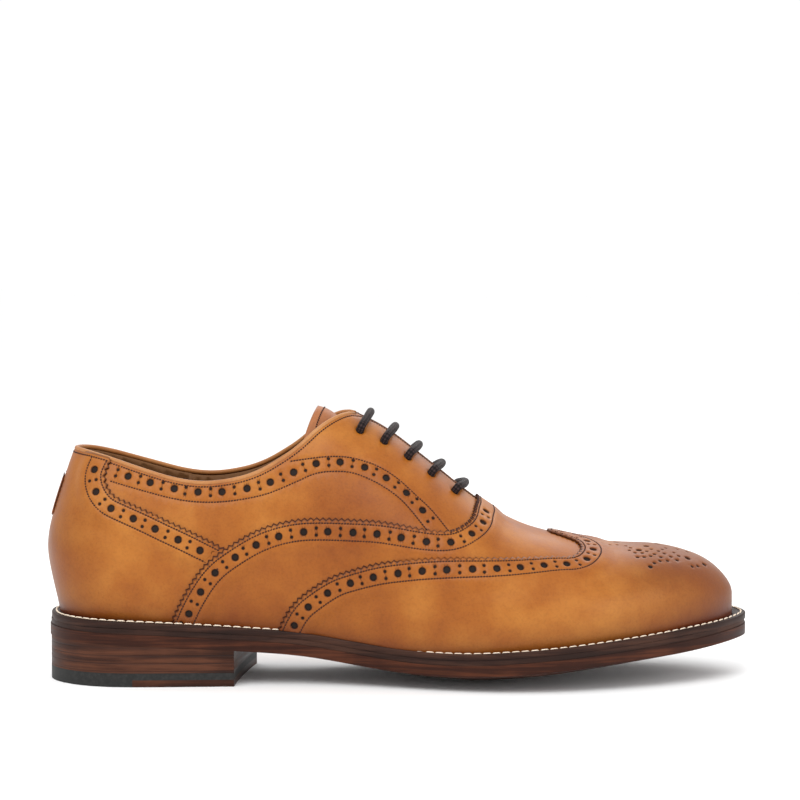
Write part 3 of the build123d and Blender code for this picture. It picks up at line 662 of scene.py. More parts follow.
def tube(name, points, radius, material, sides):
    """A round rod along a line of points in millimetres."""
    run = unit(np.gradient(points, axis=0))
    normals = np.zeros_like(points)
    normals[0] = np.cross(run[0], (0.3, 0.5, 0.8))
    for i in range(1, len(points)):
        normals[i] = normals[i - 1] - run[i] * (normals[i - 1] @ run[i])
    left = unit(np.cross(normals, run))
    up = np.cross(run, left)
    turn = np.linspace(0, 2 * pi, sides, endpoint=False)
    vertices = []
    for point, x, z in zip(points, left, up):
        vertices.append(point + radius * (np.cos(turn)[:, None] * x + np.sin(turn)[:, None] * z))
    last = (len(points) - 1) * sides
    faces = [(a, d, c, b) for a, b, c, d in ring_faces(len(points), sides)]
    faces += [tuple(reversed(range(sides))), tuple(last + i for i in range(sides))]
    piece = new_object(name, np.vstack(vertices), faces, material)
    set_numbers(piece, "along", np.repeat(run_length(points), sides))
    set_numbers(piece, "around", np.tile(turn, len(points)))
    return piece


# ---------------------------------------------------------------- materials
class Paint:
    """A procedural material built round one Principled shader."""

    def __init__(self, name, **sockets):
        self.material = bpy.data.materials.new(name)
        self.material.use_nodes = True
        self.tree = self.material.node_tree
        self.shader = self.tree.nodes["Principled BSDF"]
        self.place = self.node("TexCoord").outputs["Object"]
        for socket, value in sockets.items():
            self.shader.inputs[socket.replace("_", " ")].default_value = value

    def node(self, kind, settings=None, **inputs):
        node = self.tree.nodes.new("ShaderNode" + kind)
        for key, value in (settings or {}).items():
            setattr(node, key, value)
        for key, value in inputs.items():
            self.plug(value, node.inputs[key.replace("_", " ")])
        return node

    def plug(self, value, socket):
        if isinstance(value, bpy.types.NodeSocket):
            self.tree.links.new(value, socket)
        else:
            socket.default_value = value

    def noise(self, scale, detail=3.0, roughness=0.5, stretch=None, distortion=0.0):
        where = self.place
        if stretch:
            where = self.node("Mapping", Vector=where, Scale=stretch).outputs[0]
        return self.node("TexNoise", Vector=where, Scale=scale, Detail=detail, Roughness=roughness,
                         Distortion=distortion).outputs["Fac"]

    def number(self, name):
        return self.node("Attribute", {"attribute_name": name}).outputs["Fac"]

    def ramp(self, factor, *stops):
        node = self.node("ValToRGB", Fac=factor)
        bands = node.color_ramp.elements
        while len(bands) < len(stops):
            bands.new(0.5)
        for band, (position, colour) in zip(bands, stops):
            band.position = position
            band.color = (*colour, 1.0)
        return node.outputs["Color"]

    def tones(self, factor, colours, low, high):
        """A ramp through screen colours, evenly spaced between two factors."""
        marks = np.linspace(low, high, len(colours))
        return self.ramp(factor, *[(mark, rgb(*colour)) for mark, colour in zip(marks, colours)])

    def span(self, factor, low, high, start=0.0, end=1.0):
        node = self.node("MapRange", Value=factor)
        for key, value in (("From Min", start), ("From Max", end), ("To Min", low), ("To Max", high)):
            node.inputs[key].default_value = value
        return node.outputs[0]

    def math(self, operation, a, b=0.0):
        node = self.node("Math", {"operation": operation})
        self.plug(a, node.inputs[0])
        self.plug(b, node.inputs[1])
        return node.outputs[0]

    def blend(self, a, b, share):
        return self.math("ADD", self.math("MULTIPLY", a, share), self.math("MULTIPLY", b, 1 - share))

    def mix(self, factor, a, b, blend="MIX"):
        node = self.node("Mix", {"data_type": "RGBA", "blend_type": blend})
        self.plug(factor, node.inputs[0])
        self.plug(a if isinstance(a, bpy.types.NodeSocket) else (*a, 1.0), node.inputs[6])
        self.plug(b if isinstance(b, bpy.types.NodeSocket) else (*b, 1.0), node.inputs[7])
        return node.outputs[2]

    def finish(self, colour, roughness, bumps):
        """Join the colour, roughness and a chain of (height, distance in mm, strength) bumps."""
        self.plug(colour, self.shader.inputs["Base Color"])
        self.plug(roughness, self.shader.inputs["Roughness"])
        normal = None
        for height, distance, strength in bumps:
            bump = self.node("Bump", Height=height, Distance=distance * MM, Strength=strength)
            if normal:
                self.plug(normal, bump.inputs["Normal"])
            normal = bump.outputs[0]
        self.plug(normal, self.shader.inputs["Normal"])
        return self.material


def rgb(*screen):
    """Scene colour of an 8-bit screen colour."""
    return tuple((c / 255 / 12.92) if c <= 10 else ((c / 255 + 0.055) / 1.055) ** 2.4 for c in screen)


def leather(name, tones, burnt, edge, gloss=0.4, coat=0.04, grain=0.05):
    """Smooth calf with clouded hand finishing, burnished where the piece says so."""
    paint = Paint(name, Coat_Weight=coat, Coat_Roughness=0.3, Specular_IOR_Level=0.22)
    clouds = paint.noise(17.0, 3.0, 0.55, distortion=0.4)
    patches = paint.noise(75.0, 4.0, 0.6)
    colour = paint.tones(paint.blend(clouds, patches, 0.72), tones, 0.34, 0.66)
    colour = paint.mix(paint.number("burnish"), colour, rgb(*burnt))
    colour = paint.mix(paint.math("MULTIPLY", paint.number("cut_edge"), 0.8), colour, rgb(*edge))
    speckle = paint.span(paint.noise(950.0, 2.0, 0.6), 0.88, 1.08, 0.3, 0.7)
    colour = paint.mix(1.0, colour, paint.ramp(speckle, (0.0, (0, 0, 0)), (1.0, (1, 1, 1))), "MULTIPLY")
    roughness = paint.span(patches, gloss - 0.06, gloss + 0.1, 0.3, 0.7)
    pores = paint.node("TexVoronoi", Vector=paint.place, Scale=1500.0).outputs["Distance"]
    creases = paint.noise(420.0, 4.0, 0.62)
    return paint.finish(colour, roughness, [(creases, 0.1, 0.5), (pores, grain, 0.5)])


def thread(name, tones):
    paint = Paint(name, Specular_IOR_Level=0.3)
    tone = paint.tones(paint.noise(1800.0, 2.0), tones, 0.35, 0.65)
    twist = paint.noise(2500.0, 1.0, stretch=(1, 1, 3))
    return paint.finish(tone, paint.span(twist, 0.5, 0.75), [(twist, 0.06, 0.6)])


def streaked(name, dark, mid, pale, across, gloss, layers=None):
    """Cut and waxed leather edge with fibres running round the sole."""
    paint = Paint(name, Coat_Weight=0.03, Coat_Roughness=0.3, Specular_IOR_Level=0.12)
    fibres = paint.noise(60.0, 6.0, 0.65, stretch=(0.25, 0.25, across))
    tone = paint.blend(fibres, paint.noise(45.0, 3.0), 0.75)
    colour = paint.ramp(tone, (0.36, rgb(*dark)), (0.5, rgb(*mid)), (0.62, rgb(*pale)))
    bumps = [(fibres, 0.12, 0.7), (paint.noise(900.0, 2.0), 0.04, 0.5)]
    if layers:
        height = paint.node("SeparateXYZ", Vector=paint.place).outputs["Z"]
        phase = paint.math("MULTIPLY", height, 1.0 / (layers * MM))
        gap = paint.span(paint.math("PINGPONG", phase, 0.5), 0.0, 1.0, 0.0, 0.12)
        colour = paint.mix(gap, paint.mix(0.6, colour, rgb(35, 22, 20)), colour)
        bumps.append((gap, 0.2, 0.8))
    return paint.finish(colour, paint.span(fibres, gloss - 0.06, gloss + 0.14, 0.35, 0.65), bumps)


def plain(name, tones, scale, gloss, bump=0.05, **sockets):
    """A fine-grained finish for small or hidden pieces."""
    paint = Paint(name, **sockets)
    grain = paint.noise(scale, 4.0, 0.6)
    colour = paint.tones(grain, tones, 0.35, 0.65)
    return paint.finish(colour, paint.span(grain, gloss - 0.05, gloss + 0.1, 0.3, 0.7), [(grain, bump, 0.6)])


def braided():
    """Round waxed cotton lace: fine threads crossing round it."""
    paint = Paint("lace_braid", Specular_IOR_Level=0.12, Sheen_Weight=0.04)
    along = paint.math("MULTIPLY", paint.number("along"), 4.2)
    around = paint.math("MULTIPLY", paint.number("around"), 4.0)
    right = paint.math("SINE", paint.math("ADD", along, around))
    left = paint.math("SINE", paint.math("SUBTRACT", along, around))
    braid = paint.span(paint.math("MULTIPLY", right, left), 0.0, 1.0, -1.0, 1.0)
    colour = paint.tones(braid, ((14, 9, 9), (32, 22, 22), (60, 46, 46)), 0.2, 0.9)
    fuzz = paint.noise(2200.0, 2.0)
    return paint.finish(colour, paint.span(fuzz, 0.5, 0.7), [(braid, 0.25, 0.8), (fuzz, 0.05, 0.4)])


TAN_TONES, TAN_BURNT = ((130, 66, 14), (152, 86, 24), (174, 110, 42)), (88, 36, 10)
TAN = leather("tan_calf", TAN_TONES, TAN_BURNT, (58, 24, 10))
TAB_TAN = leather("tab_leather", TAN_TONES, TAN_BURNT, (104, 50, 24))
# near-black leather for the painted shade seen down the punched holes
HOLE_SHADE = leather("hole_shade_leather", ((22, 13, 9), (28, 17, 12), (36, 22, 15)), (20, 12, 8), (12, 8, 6),
                     0.7, 0.0)
ROLL = leather("roll_leather", ((150, 92, 44), (170, 114, 64), (186, 134, 84)), (118, 62, 26), (118, 62, 26),
               0.42)
INSIDE = leather("lining_leather", ((164, 114, 66), (186, 136, 84), (202, 154, 102)), (80, 48, 26),
                 (90, 56, 32), 0.62, 0.0, 0.03)
TONGUE_TAN = leather("tongue_leather", ((134, 76, 40), (152, 92, 54), (166, 108, 68)), (104, 54, 28),
                     (84, 44, 24), 0.45)
SOCK_TAN = leather("sock_leather", ((112, 70, 42), (136, 90, 58), (150, 104, 70)), (84, 50, 30), (84, 50, 30),
                   0.55, 0.0)
DARK_THREAD = thread("dark_thread", ((42, 16, 8), (70, 30, 14)))
PALE_THREAD = thread("pale_thread", ((228, 206, 180), (250, 236, 218)))
WELT_EDGE = streaked("welt_leather", (30, 18, 14), (44, 26, 20), (66, 42, 32), 5.0, 0.45)
SOLE_EDGE = streaked("sole_leather", (34, 14, 7), (50, 23, 13), (80, 42, 25), 7.0, 0.42)
STACK = streaked("heel_stack_leather", (34, 17, 10), (58, 32, 22), (86, 51, 35), 6.0, 0.45, layers=3.4)
BOARD = plain("stiffener_board", ((170, 150, 122), (184, 164, 136), (196, 178, 150)), 500.0, 0.85)
TAPE = plain("stay_tape", ((198, 190, 174), (210, 203, 188), (222, 216, 202)), 1600.0, 0.9)
RUBBER = plain("heel_rubber", ((24, 24, 23), (32, 32, 31), (42, 41, 40)), 600.0, 0.6, Specular_IOR_Level=0.3)
INSOLE = plain("insole_leather", ((160, 122, 84), (176, 138, 98), (190, 152, 110)), 300.0, 0.7)
CORK = plain("cork", ((112, 78, 46), (150, 110, 68), (182, 142, 96)), 380.0, 0.85, 0.2)
STEEL = plain("shank_steel", ((150, 152, 156), (168, 170, 174), (184, 186, 190)), 900.0, 0.3, 0.01,
              Metallic=1.0)
BRASS = plain("brass", ((176, 140, 72), (196, 160, 88), (212, 178, 104)), 900.0, 0.32, 0.01, Metallic=1.0)
AGLET = plain("aglet_plastic", ((28, 24, 24), (36, 31, 31), (46, 40, 40)), 900.0, 0.25, 0.01)

# ---------------------------------------------------------------- upper
STITCH = capsule(1.06, 0.66, 0.4)
NEAR_ROW, BAND_MIDDLE, FAR_ROW = -2.1, -5.7, -9.3  # across a gimped band, from its edge
BIG_HOLE = 1.58


def tree_on_both(chart, line):
    return tree_of(np.vstack([chart.spots(for_side(chart, line, side)) for side, _ in SIDES]))


def lap_over(chart, line, reach=9.6, height=LEATHER + 0.05):
    """A lift that stands proud near a piece's own sewn edges and sinks away from them."""
    tree = tree_on_both(chart, line)

    def lift(points):
        fall = np.clip((gaps(tree, points) - reach) / 7.0, 0, 1)
        return height * (1 - fall * fall * (3 - 2 * fall))

    return lift


def broguing(chart, line, distance, start, turn=0, pitch=10.7, small=0.64, spread=1.5):
    """Holes along a band: big ones, with a pair of small ones between each two."""
    centre = even(chart, beside(chart, line, distance), 0.5)
    holes = []
    mark = start
    while mark < (len(centre) - 4) * 0.5:
        at = int(mark * 2)
        if turn % 2 == 0:
            holes.append((centre[at], BIG_HOLE))
        else:
            left = headings(chart, centre[at - 1:at + 2])[1][1]
            for side in (-1, 1):
                holes.append((centre[at] + chart.flat(centre[at], left * side * spread), small))
        mark += pitch / 2
        turn += 1
    return holes


def clear_of(holes, chart, lines, gap=0.9):
    """The holes that keep clear of some lines."""
    tree = tree_of(chart.spots(np.vstack(lines)))
    return [(at, radius) for at, radius in holes
            if tree.find(chart.spots(at))[2] > radius + gap]


def hole_shade_discs(name, chart, holes, lift):
    """Painted shade at the bottom of the punched holes: near-black discs sunk in each hole."""
    vertices, faces = [], []
    for centre, radius in holes:
        ring = ring_round(chart, centre, radius + 0.15, 10)
        faces.append(tuple(range(len(vertices), len(vertices) + 10))[::chart.outward])
        vertices += list(chart.lifted(ring, lift(chart.spots(ring)) - (0.75 if radius > 1 else 0.45)))
    return new_object(name, vertices, faces, HOLE_SHADE)


def band_rows(chart, line):
    """The two stitch rows of a gimped band."""
    return [beside(chart, line, distance) for distance in (NEAR_ROW, FAR_ROW)]


def edge_shadow_strip(name, chart, edge):
    """Dark strip in the corner where a gimped edge lies on the leather below: painted shadow under the edge.
    """
    vertices, faces = [], []
    for side, _ in SIDES:
        inner, outer = beside(chart, edge, -0.4), beside(chart, edge, 0.5)
        rows = [chart.lifted(for_side(chart, line, side), 0.12) for line in (inner, outer)]
        first, count = len(vertices), len(edge)
        vertices += list(rows[0]) + list(rows[1])
        for i in range(first, first + count - 1):
            face = (i, i + 1, i + 1 + count, i + count)
            faces.append(face[::-1] if side * chart.outward > 0 else face)
    piece = new_object(name, vertices, faces, TAN)
    # both finish numbers set full give the strip the darkest edge colour, as painted shadow
    for number in ("burnish", "cut_edge"):
        set_numbers(piece, number, np.ones(len(vertices)))


def low_edge(start, end):
    """The lasted lower edge of the lateral side, hidden in the welt, between two lengths u."""
    return places_at_v(np.arange(start, end, 1.5), -GIRTH - 1.2)


def close_toe(piece, edge, lift):
    """Join the piece's lateral and medial sides on the middle line of the toe's tip."""
    height = lift(FRONT.spots(edge))
    tree = tree_of(np.vstack([FRONT.lifted(edge, height - depth) for depth in (EDGE_DIP, LEATHER)]))
    joined = np.vstack([FRONT.lifted(edge, height - depth) for depth in (0.0, LEATHER)])
    joined[:, 1] = SIDE_SHIFT + middle(TOE_TIP)
    mesh = bmesh.new()
    mesh.from_mesh(piece.data)
    for vertex in mesh.verts:
        _, number, gap = tree.find(vertex.co / MM)
        if gap < 0.02:
            vertex.co = Vector(joined[number]) * MM
            vertex[mesh.verts.layers.float["cut_edge"]] = 0.0
    mesh.to_mesh(piece.data)
    mesh.free()


def stitched(name, chart, rows, lift=ON_LAST):
    stitches(name, [sewn(chart, row, lift) for row in rows], DARK_THREAD, STITCH)


def outer_piece(stem, leather_name, node, chart, loop, rows, lift=ON_LAST, holes=(), eyelets=(), edge=None,
                toe=None):
    """A burnished outer piece with its stitches, painted shade at the backs of its holes and a painted shadow
    strip along its gimped edge.
    """
    piece = leather_piece(leather_name, chart, loop, TAN, [*holes, *eyelets], rows, lift)
    if toe is not None:
        close_toe(piece, toe, lift)
    burnish(piece)
    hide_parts(node)
    # painted shadow strip under the gimped edge
    if edge is not None:
        edge_shadow_strip(f"{stem}_edge_shadow_strip", chart, edge)
    # painted shade discs inside the punched holes
    hole_shade_discs(f"{stem}_hole_shade_discs", chart, holes, lift)
    stitched(f"{stem}_stitches", chart, rows, lift)


# vamp
vamp_lift = lap_over(FRONT, vamp_line)
throat = np.array([[length_of(189.8), 0.0]])
wing_lap = on_front(WING_LAP)
edge = gimped(FRONT, vamp_line)
bottom = low_edge(edge[0][0] + 1, wing_lap[0][0])
lap = there_and_back(FRONT, wing_lap)[::-1]
far_edge, far_bottom = for_side(FRONT, edge, 1)[::-1], for_side(FRONT, bottom, 1)
vamp_loop = np.vstack([edge, throat, far_edge, far_bottom, lap, bottom[::-1]])
vamp_rows = [even(FRONT, there_and_back(FRONT, row)) for row in band_rows(FRONT, vamp_line)]
vamp_holes = both_sides(FRONT, broguing(FRONT, vamp_line, BAND_MIDDLE, 4.6, turn=1))
outer_piece("vamp", "vamp_leather", "vamp", FRONT, vamp_loop, vamp_rows, vamp_lift, vamp_holes, edge=edge)
throat_line = vamp_line[vamp_line[:, 0] > length_of(176.5)]
bar_row = even(FRONT, there_and_back(FRONT, beside(FRONT, throat_line, -0.75)))
BAR_STITCH = capsule(1.7, 0.6, 0.45)
stitches("throat_bar_stitches", [sewn(FRONT, bar_row, vamp_lift, 1.35)], DARK_THREAD, BAR_STITCH, turn=1.35)

# wing cap
wing_lift = lap_over(FRONT, wing_line)
edge = gimped(FRONT, wing_line)
bottom = low_edge(edge[0][0] + 1, U_END - 0.7)
toe = places_at_u(U_END - 0.6, GIRTH + 1.2, -GIRTH - 1.2, 95)
peak = np.array([[length_of(221.3), 0.0]])
far_edge, far_bottom = for_side(FRONT, edge, 1)[::-1], for_side(FRONT, bottom, 1)
wing_loop = np.vstack([edge, peak, far_edge, far_bottom, toe, bottom[::-1]])
wing_rows = [even(FRONT, there_and_back(FRONT, row[row[:, 1] < -0.3])) for row in band_rows(FRONT, wing_line)]
beside_peak = [hole for hole in broguing(FRONT, wing_line, BAND_MIDDLE, 9.0) if hole[0][1] < -2.4]
wing_holes = both_sides(FRONT, beside_peak) + [(np.array([float(length_of(227.5)), 0.0]), BIG_HOLE)]

# the medallion on the toe: (station, girth from the middle line, radius)
MEDALLION = [(245.5, 5.5, 0.6), (249, 5.5, 0.6), (252.3, 5.2, 0.6), (256, 6.2, 0.6), (252.5, 1.2, 1.25),
             (257.8, 8.5, 0.6), (257, 11.2, 0.6), (259.3, 13.5, 0.65), (261.3, 10.8, 1.3),
             (262.5, 13.8, 0.65), (260, 17.2, 0.7), (263, 17.2, 0.65), (264.7, 12.2, 0.6),
             (265.2, 6, 1.25), (266, 16.5, 0.65), (267, 9.8, 0.6), (267.9, 14.8, 0.65), (270.1, 11.5, 0.6),
             (272.1, 9, 0.6), (270.6, 17.2, 0.65), (272.5, 13.5, 0.65), (269.9, 20.2, 0.65),
             (267.2, 21.8, 0.7), (265.2, 24.2, 1.0), (275.2, 16, 0.65), (273.3, 19.8, 0.65),
             (274, 6.5, 0.6), (277.2, 11, 0.6), (277.9, 18.5, 0.7), (279.1, 14, 0.65), (271, 1.0, 1.3),
             (279.5, 4.5, 0.6), (283.2, 14.2, 1.3), (284.7, 22, 0.65), (287.5, 20.5, 0.65),
             (290.9, 16.2, 1.0), (284, 4.5, 0.7)]
for station, girth, radius in MEDALLION:
    for side in ((-1, 1) if girth > 2 else (0,)):
        wing_holes.append((np.array([float(length_of(station)), side * girth]), radius))
outer_piece("wing", "wing_cap_leather", "wing_cap", FRONT, wing_loop, wing_rows, wing_lift, wing_holes,
            edge=edge, toe=toe)

# quarters
vamp_lap, counter_lap = on_front(VAMP_LAP), on_front(COUNTER_LAP)
top_row, facing_row = beside(FRONT, topline, -1.8), beside(FRONT, facing, -1.4)
edge_row = even(FRONT, np.vstack([top_row[:-1], facing_row[2:]]))
corner = np.array([[length_of(136.2), -4.6]])
quarter_rows = [edge_row, band_lower, band_upper]
band_holes = clear_of(broguing(FRONT, band_lower, 4.4, 1.8, turn=1), FRONT, [vamp_line, topline])
quarter_loop = np.vstack([topline, corner, facing, vamp_lap[::-1], counter_lap[::-1][:-2]])
eyelet_places = []
for station in EYELET_STATIONS:
    column = places_at_u(length_of(station), -40, -4, 300)
    offsets = np.abs(FRONT.spots(column)[:, 1] - SIDE_SHIFT - middle(station))
    eyelet_places.append(column[np.argmin(np.abs(offsets - EYELET_OFFSET))])
for side, side_name in SIDES:
    stem = f"quarter_{side_name}"
    rows = [for_side(FRONT, row, side) for row in quarter_rows]
    holes = holes_for_side(FRONT, band_holes, side)
    eyelets = holes_for_side(FRONT, [(at, 1.7) for at in eyelet_places], side)
    outer_piece(stem, f"{stem}_leather", stem, FRONT, for_side(FRONT, quarter_loop, side), rows, ON_LAST,
                holes, eyelets)

# counter cover, round the heel from one edge to the other
vamp_on_wall = on_wall(VAMP_EDGE[:4])
under_vamp = beside(HEEL_WALL, vamp_on_wall, -4.0)
counter_proud = lap_over(HEEL_WALL, counter_line)
vamp_tree = tree_on_both(HEEL_WALL, vamp_on_wall)


def counter_lift(points):
    near = np.clip(gaps(vamp_tree, points) / 5.0, 0, 1)
    return counter_proud(points) * near - 0.35 * (1 - near)


SETTLING_ROUNDS = 8


def under_topline(u_line, drop=0.0):
    """Places on the heel chart at the height of the topline."""
    line = places_at_v(u_line, 90)
    for _ in range(SETTLING_ROUNDS):
        line[:, 1] = topline_height(HEEL_WALL.spots(line)[:, 0] + HALF_LENGTH) - drop
    return line


edge = gimped(HEEL_WALL, counter_line)[::-1]
round_back = under_topline(np.arange(edge[-1][0] + 1, 0, 1.0))
half = np.vstack([under_vamp, edge, round_back])
foot_a = np.arange(half[0][0] + 1, 0, 1.5)
foot_s = np.maximum(np.abs(foot_a) - HEEL_ARC, 0) + HEEL_JOIN
foot = np.stack([foot_a, np.maximum(sole_height(foot_s) + SOLE_TO_WELT - 1.8, 24.5)], -1)
counter_loop = np.vstack([half, for_side(HEEL_WALL, half, 1)[::-1], for_side(HEEL_WALL, foot, 1), foot[::-1]])
half_rows = band_rows(HEEL_WALL, counter_line) + [beside(HEEL_WALL, round_back, 1.8)]
counter_rows = [for_side(HEEL_WALL, row, side) for side, _ in SIDES for row in half_rows]
counter_holes = both_sides(HEEL_WALL, broguing(HEEL_WALL, counter_line, BAND_MIDDLE, 5.5))
outer_piece("counter", "counter_leather", "counter_cover", HEEL_WALL, counter_loop, counter_rows,
            counter_lift, counter_holes, edge=edge)

# the pinked tab over the back seam
tab_side = even(HEEL_WALL, curve_through([(-6.5, 72.5), (-6.8, 80), (-6.2, 87.8), (0, 88.6)]))
tab_foot = np.array([[0.0, 71.2]])
tab_edge = gimped(HEEL_WALL, tab_side, 2.4, 0.9)
tab_loop = np.vstack([tab_foot, tab_edge, for_side(HEEL_WALL, tab_edge[:-1], 1)[::-1]])
tab_row = beside(HEEL_WALL, tab_side, -1.7)[2:-3]
tab_rows = [for_side(HEEL_WALL, tab_row, side) for side, _ in SIDES]
tab_lift = at_level(0.75)
heel_tab = leather_piece("heel_tab_leather", HEEL_WALL, tab_loop, TAB_TAN, (), tab_rows, tab_lift,
                         spacing=1.0, thickness=0.8, rim=0.15)
burnish(heel_tab)
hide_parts("heel_tab")
stitched("heel_tab_stitches", HEEL_WALL, tab_rows, tab_lift)

# topline binding: a thin roll from one facing round the heel to the other
ROLL_RADIUS, ROLL_DEPTH = 1.05, 0.9
back_part = HEEL_WALL.lifted(round_back[2:], -ROLL_DEPTH)
back_again = back_part[::-1][1:] * (1, -1, 1) + (0, 2 * SIDE_SHIFT, 0)


def roll_ahead(side):
    """The binding's line on one side, from the facing back to the part round the heel."""
    line = FRONT.lifted(for_side(FRONT, np.vstack([topline, corner])[::-1], side), -ROLL_DEPTH)
    return line[line[:, 0] > back_part[0, 0] + 2]


roll_line = np.vstack([roll_ahead(-1), back_part, back_again, roll_ahead(1)[::-1]])
binding = tube("topline_roll", roll_line + (0, 0, 0.1), ROLL_RADIUS, ROLL, 12)
set_numbers(binding, "burnish", np.full(len(binding.data.vertices), 0.12))
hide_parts("topline_binding")


# stiffener and stays, between the upper and its lining
def inner_piece(name, node, chart, loop, material, depth, spacing, thickness, holes=()):
    """A piece behind the upper, its outer face at a depth under the last's chart."""
    piece = leather_piece(name, chart, loop, material, holes, (), at_level(-depth), spacing, thickness)
    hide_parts(node)


INNER = LEATHER + 0.1  # depth of the upper's inner face, with a little play
BOARD_DEPTH, LINING_DEPTH = INNER + 0.02, INNER + 0.9
board_a = np.arange(-74.0, 74.5, 2.0)
board_top = np.stack([board_a, 74 - 14 * (np.abs(board_a) / 74) ** 4], -1)
board_loop = np.vstack([board_top, places_at_v(board_a, 28)[::-1]])
inner_piece("heel_stiffener_board", "heel_stiffener", HEEL_WALL, board_loop, BOARD, BOARD_DEPTH, 3.0, 0.8)
stay_u = length_of(np.linspace(135, 185, 30))
stay_loop = np.vstack([places_at_v(stay_u, -4), places_at_v(stay_u[::-1], -26)])
inner_eyelets = [(at, 1.9) for at in eyelet_places]
for side, side_name in SIDES:
    stem = f"facing_stay_{side_name}"
    inner_piece(f"{stem}_tape", stem, FRONT, for_side(FRONT, stay_loop, side), TAPE, BOARD_DEPTH, 3.0, 0.5,
                holes_for_side(FRONT, inner_eyelets, side))

# linings
heel_front = 62.0 + HEEL_ARC - HEEL_JOIN
wall_a = np.arange(-heel_front, heel_front + 1, 1.5)
wall_top = under_topline(wall_a, 0.4)
heel_loop = np.vstack([wall_top, places_at_v(wall_a, 27.5)[::-1]])


def sewn_inside(chart, line):
    """Stitch places on the inner face of the lining."""
    points, run, normal = sewn(chart, line, at_level(-INNER - 1.66))
    return points, run, -normal


lining_rows = [sewn_inside(HEEL_WALL, wall_top[4:-4] + (0, -3.2))]
inner_piece("heel_lining_leather", "heel_lining", HEEL_WALL, heel_loop, INSIDE, LINING_DEPTH, 2.5, 1.0)
fore = topline[topline[:, 0] > length_of(60.0)] + (0, -0.3)
low = low_edge(length_of(60.0), length_of(190.0))
lining_facing = facing[facing[:, 0] < length_of(190)] + (0, -0.2)
lining_loop = np.vstack([fore, corner, lining_facing, low[::-1]])
lining_row = beside(FRONT, topline[topline[:, 0] > length_of(58.0)], -3.4)
for side, side_name in SIDES:
    stem = f"quarter_lining_{side_name}"
    inner_piece(f"{stem}_leather", stem, FRONT, for_side(FRONT, lining_loop, side), INSIDE, LINING_DEPTH,
                2.5, 1.0, holes_for_side(FRONT, inner_eyelets, side))
    lining_rows.append(sewn_inside(FRONT, for_side(FRONT, lining_row, side)))
stitches("lining_stitches", lining_rows, DARK_THREAD, STITCH)
front_edge = places_at_u(length_of(191.0), -GIRTH, GIRTH, 90)
low = low_edge(length_of(191.0) + 1, U_END - 6)
toe_edge = places_at_u(U_END - 6.0, GIRTH, -GIRTH, 90)
loop = np.vstack([front_edge, for_side(FRONT, low, 1), toe_edge, low[::-1]])
inner_piece("vamp_lining_leather", "vamp_lining", FRONT, loop, INSIDE, LINING_DEPTH, 3.0, 1.0)

# ---------------------------------------------------------------- tongue
TONGUE_DEPTH = 8.6
tongue_half = smooth([(110, 23.5), (118, 24.5), (128, 25), (150, 23), (170, 20), (190, 17)])


def instep_at(station, aside, depth):
    """Points under the instep's surface, beside its middle line."""
    station, aside = np.asarray(station, float), np.asarray(aside, float)
    reach = np.where(aside < 0, lateral_width(station), medial_width(station)) - depth
    power = squareness(station)
    level = side_height(station)
    rise = (1 - np.minimum(np.abs(aside) / reach, 0.999) ** power) ** (1 / power)
    z = level + (ridge_height(station) - depth - level) * rise
    return np.stack([station - HALF_LENGTH, SIDE_SHIFT + middle(station) + aside, z], -1)


def tongue_surface(share, aside, depth):
    """Places of the tongue, from the throat up to its rounded top, leaning back at the top."""
    end = 119.5 - 9.5 * np.abs(aside) ** 1.6
    station = 187.0 - share * (187.0 - end)
    aside = aside * tongue_half(station)
    clear = instep_at(station, aside, 0.0)[..., 2] - topline_height(np.minimum(station, 131.0))
    free = np.clip((clear - 0.5) / 13.0, 0, 1) * np.clip((133.0 - station) / 5.0, 0, 1)
    free = free * free * (3 - 2 * free)
    return instep_at(station, aside, depth - 2.4 * free)


def tongue_sheet(name, depth, thickness, material):
    """One layer of the tongue."""
    rows, columns = 62, 34
    share = np.linspace(0, 1, rows)[:, None]
    aside = np.linspace(-1, 1, columns)[None, :]
    layers = [tongue_surface(share, aside, depth + down).reshape(-1, 3) for down in (0.0, thickness)]
    count = rows * columns
    faces = []
    for i in range(rows - 1):
        for j in range(columns - 1):
            a = i * columns + j
            faces.append((a, a + columns, a + columns + 1, a + 1))
            faces.append((count + a, count + a + 1, count + a + columns + 1, count + a + columns))
    rim = [(i, 0) for i in range(rows)] + [(rows - 1, j) for j in range(1, columns)]
    rim += [(i, columns - 1) for i in range(rows - 2, -1, -1)] + [(0, j) for j in range(columns - 2, 0, -1)]
    border = [i * columns + j for i, j in rim]
    faces += [(b, a, a + count, b + count) for a, b in zip(border, border[1:] + border[:1])]
    return new_object(name, np.vstack(layers), faces, material, "tongue")


tongue = tongue_sheet("tongue_leather", TONGUE_DEPTH, 1.5, TONGUE_TAN)
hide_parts("tongue")
tongue_back = tongue_sheet("tongue_lining_leather", TONGUE_DEPTH + 1.55, 0.8, INSIDE)
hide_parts("tongue_lining")
half_edge = [(0.5, 0.88), (0.8, 0.88), (0.92, 0.84), (0.95, 0.65), (0.955, 0.3)]
share, aside = curve_through([(s, -a) for s, a in half_edge] + half_edge[::-1], 24).T
length = run_length(tongue_surface(share, aside, TONGUE_DEPTH - 0.1))
marks = np.arange(0, length[-1], THREAD_PITCH)
share, aside = np.interp(marks, length, share), np.interp(marks, length, aside)
row = tongue_surface(share, aside, TONGUE_DEPTH - 0.1)
run = unit(np.gradient(row, axis=0))
up = row - tongue_surface(share, aside, TONGUE_DEPTH + 0.9)
up = unit(up - run * (up * run).sum(1)[:, None])
stitches("tongue_stitches", [(row, run, up)], DARK_THREAD, STITCH, body="tongue")

# ---------------------------------------------------------------- lace
LACE_RADIUS = 1.8
BAR_RISE, RUN_DEPTH = 2.3, 4.1
BAR_LEAD = 3.5  # how far the middle of a bar lies ahead of its eyelets


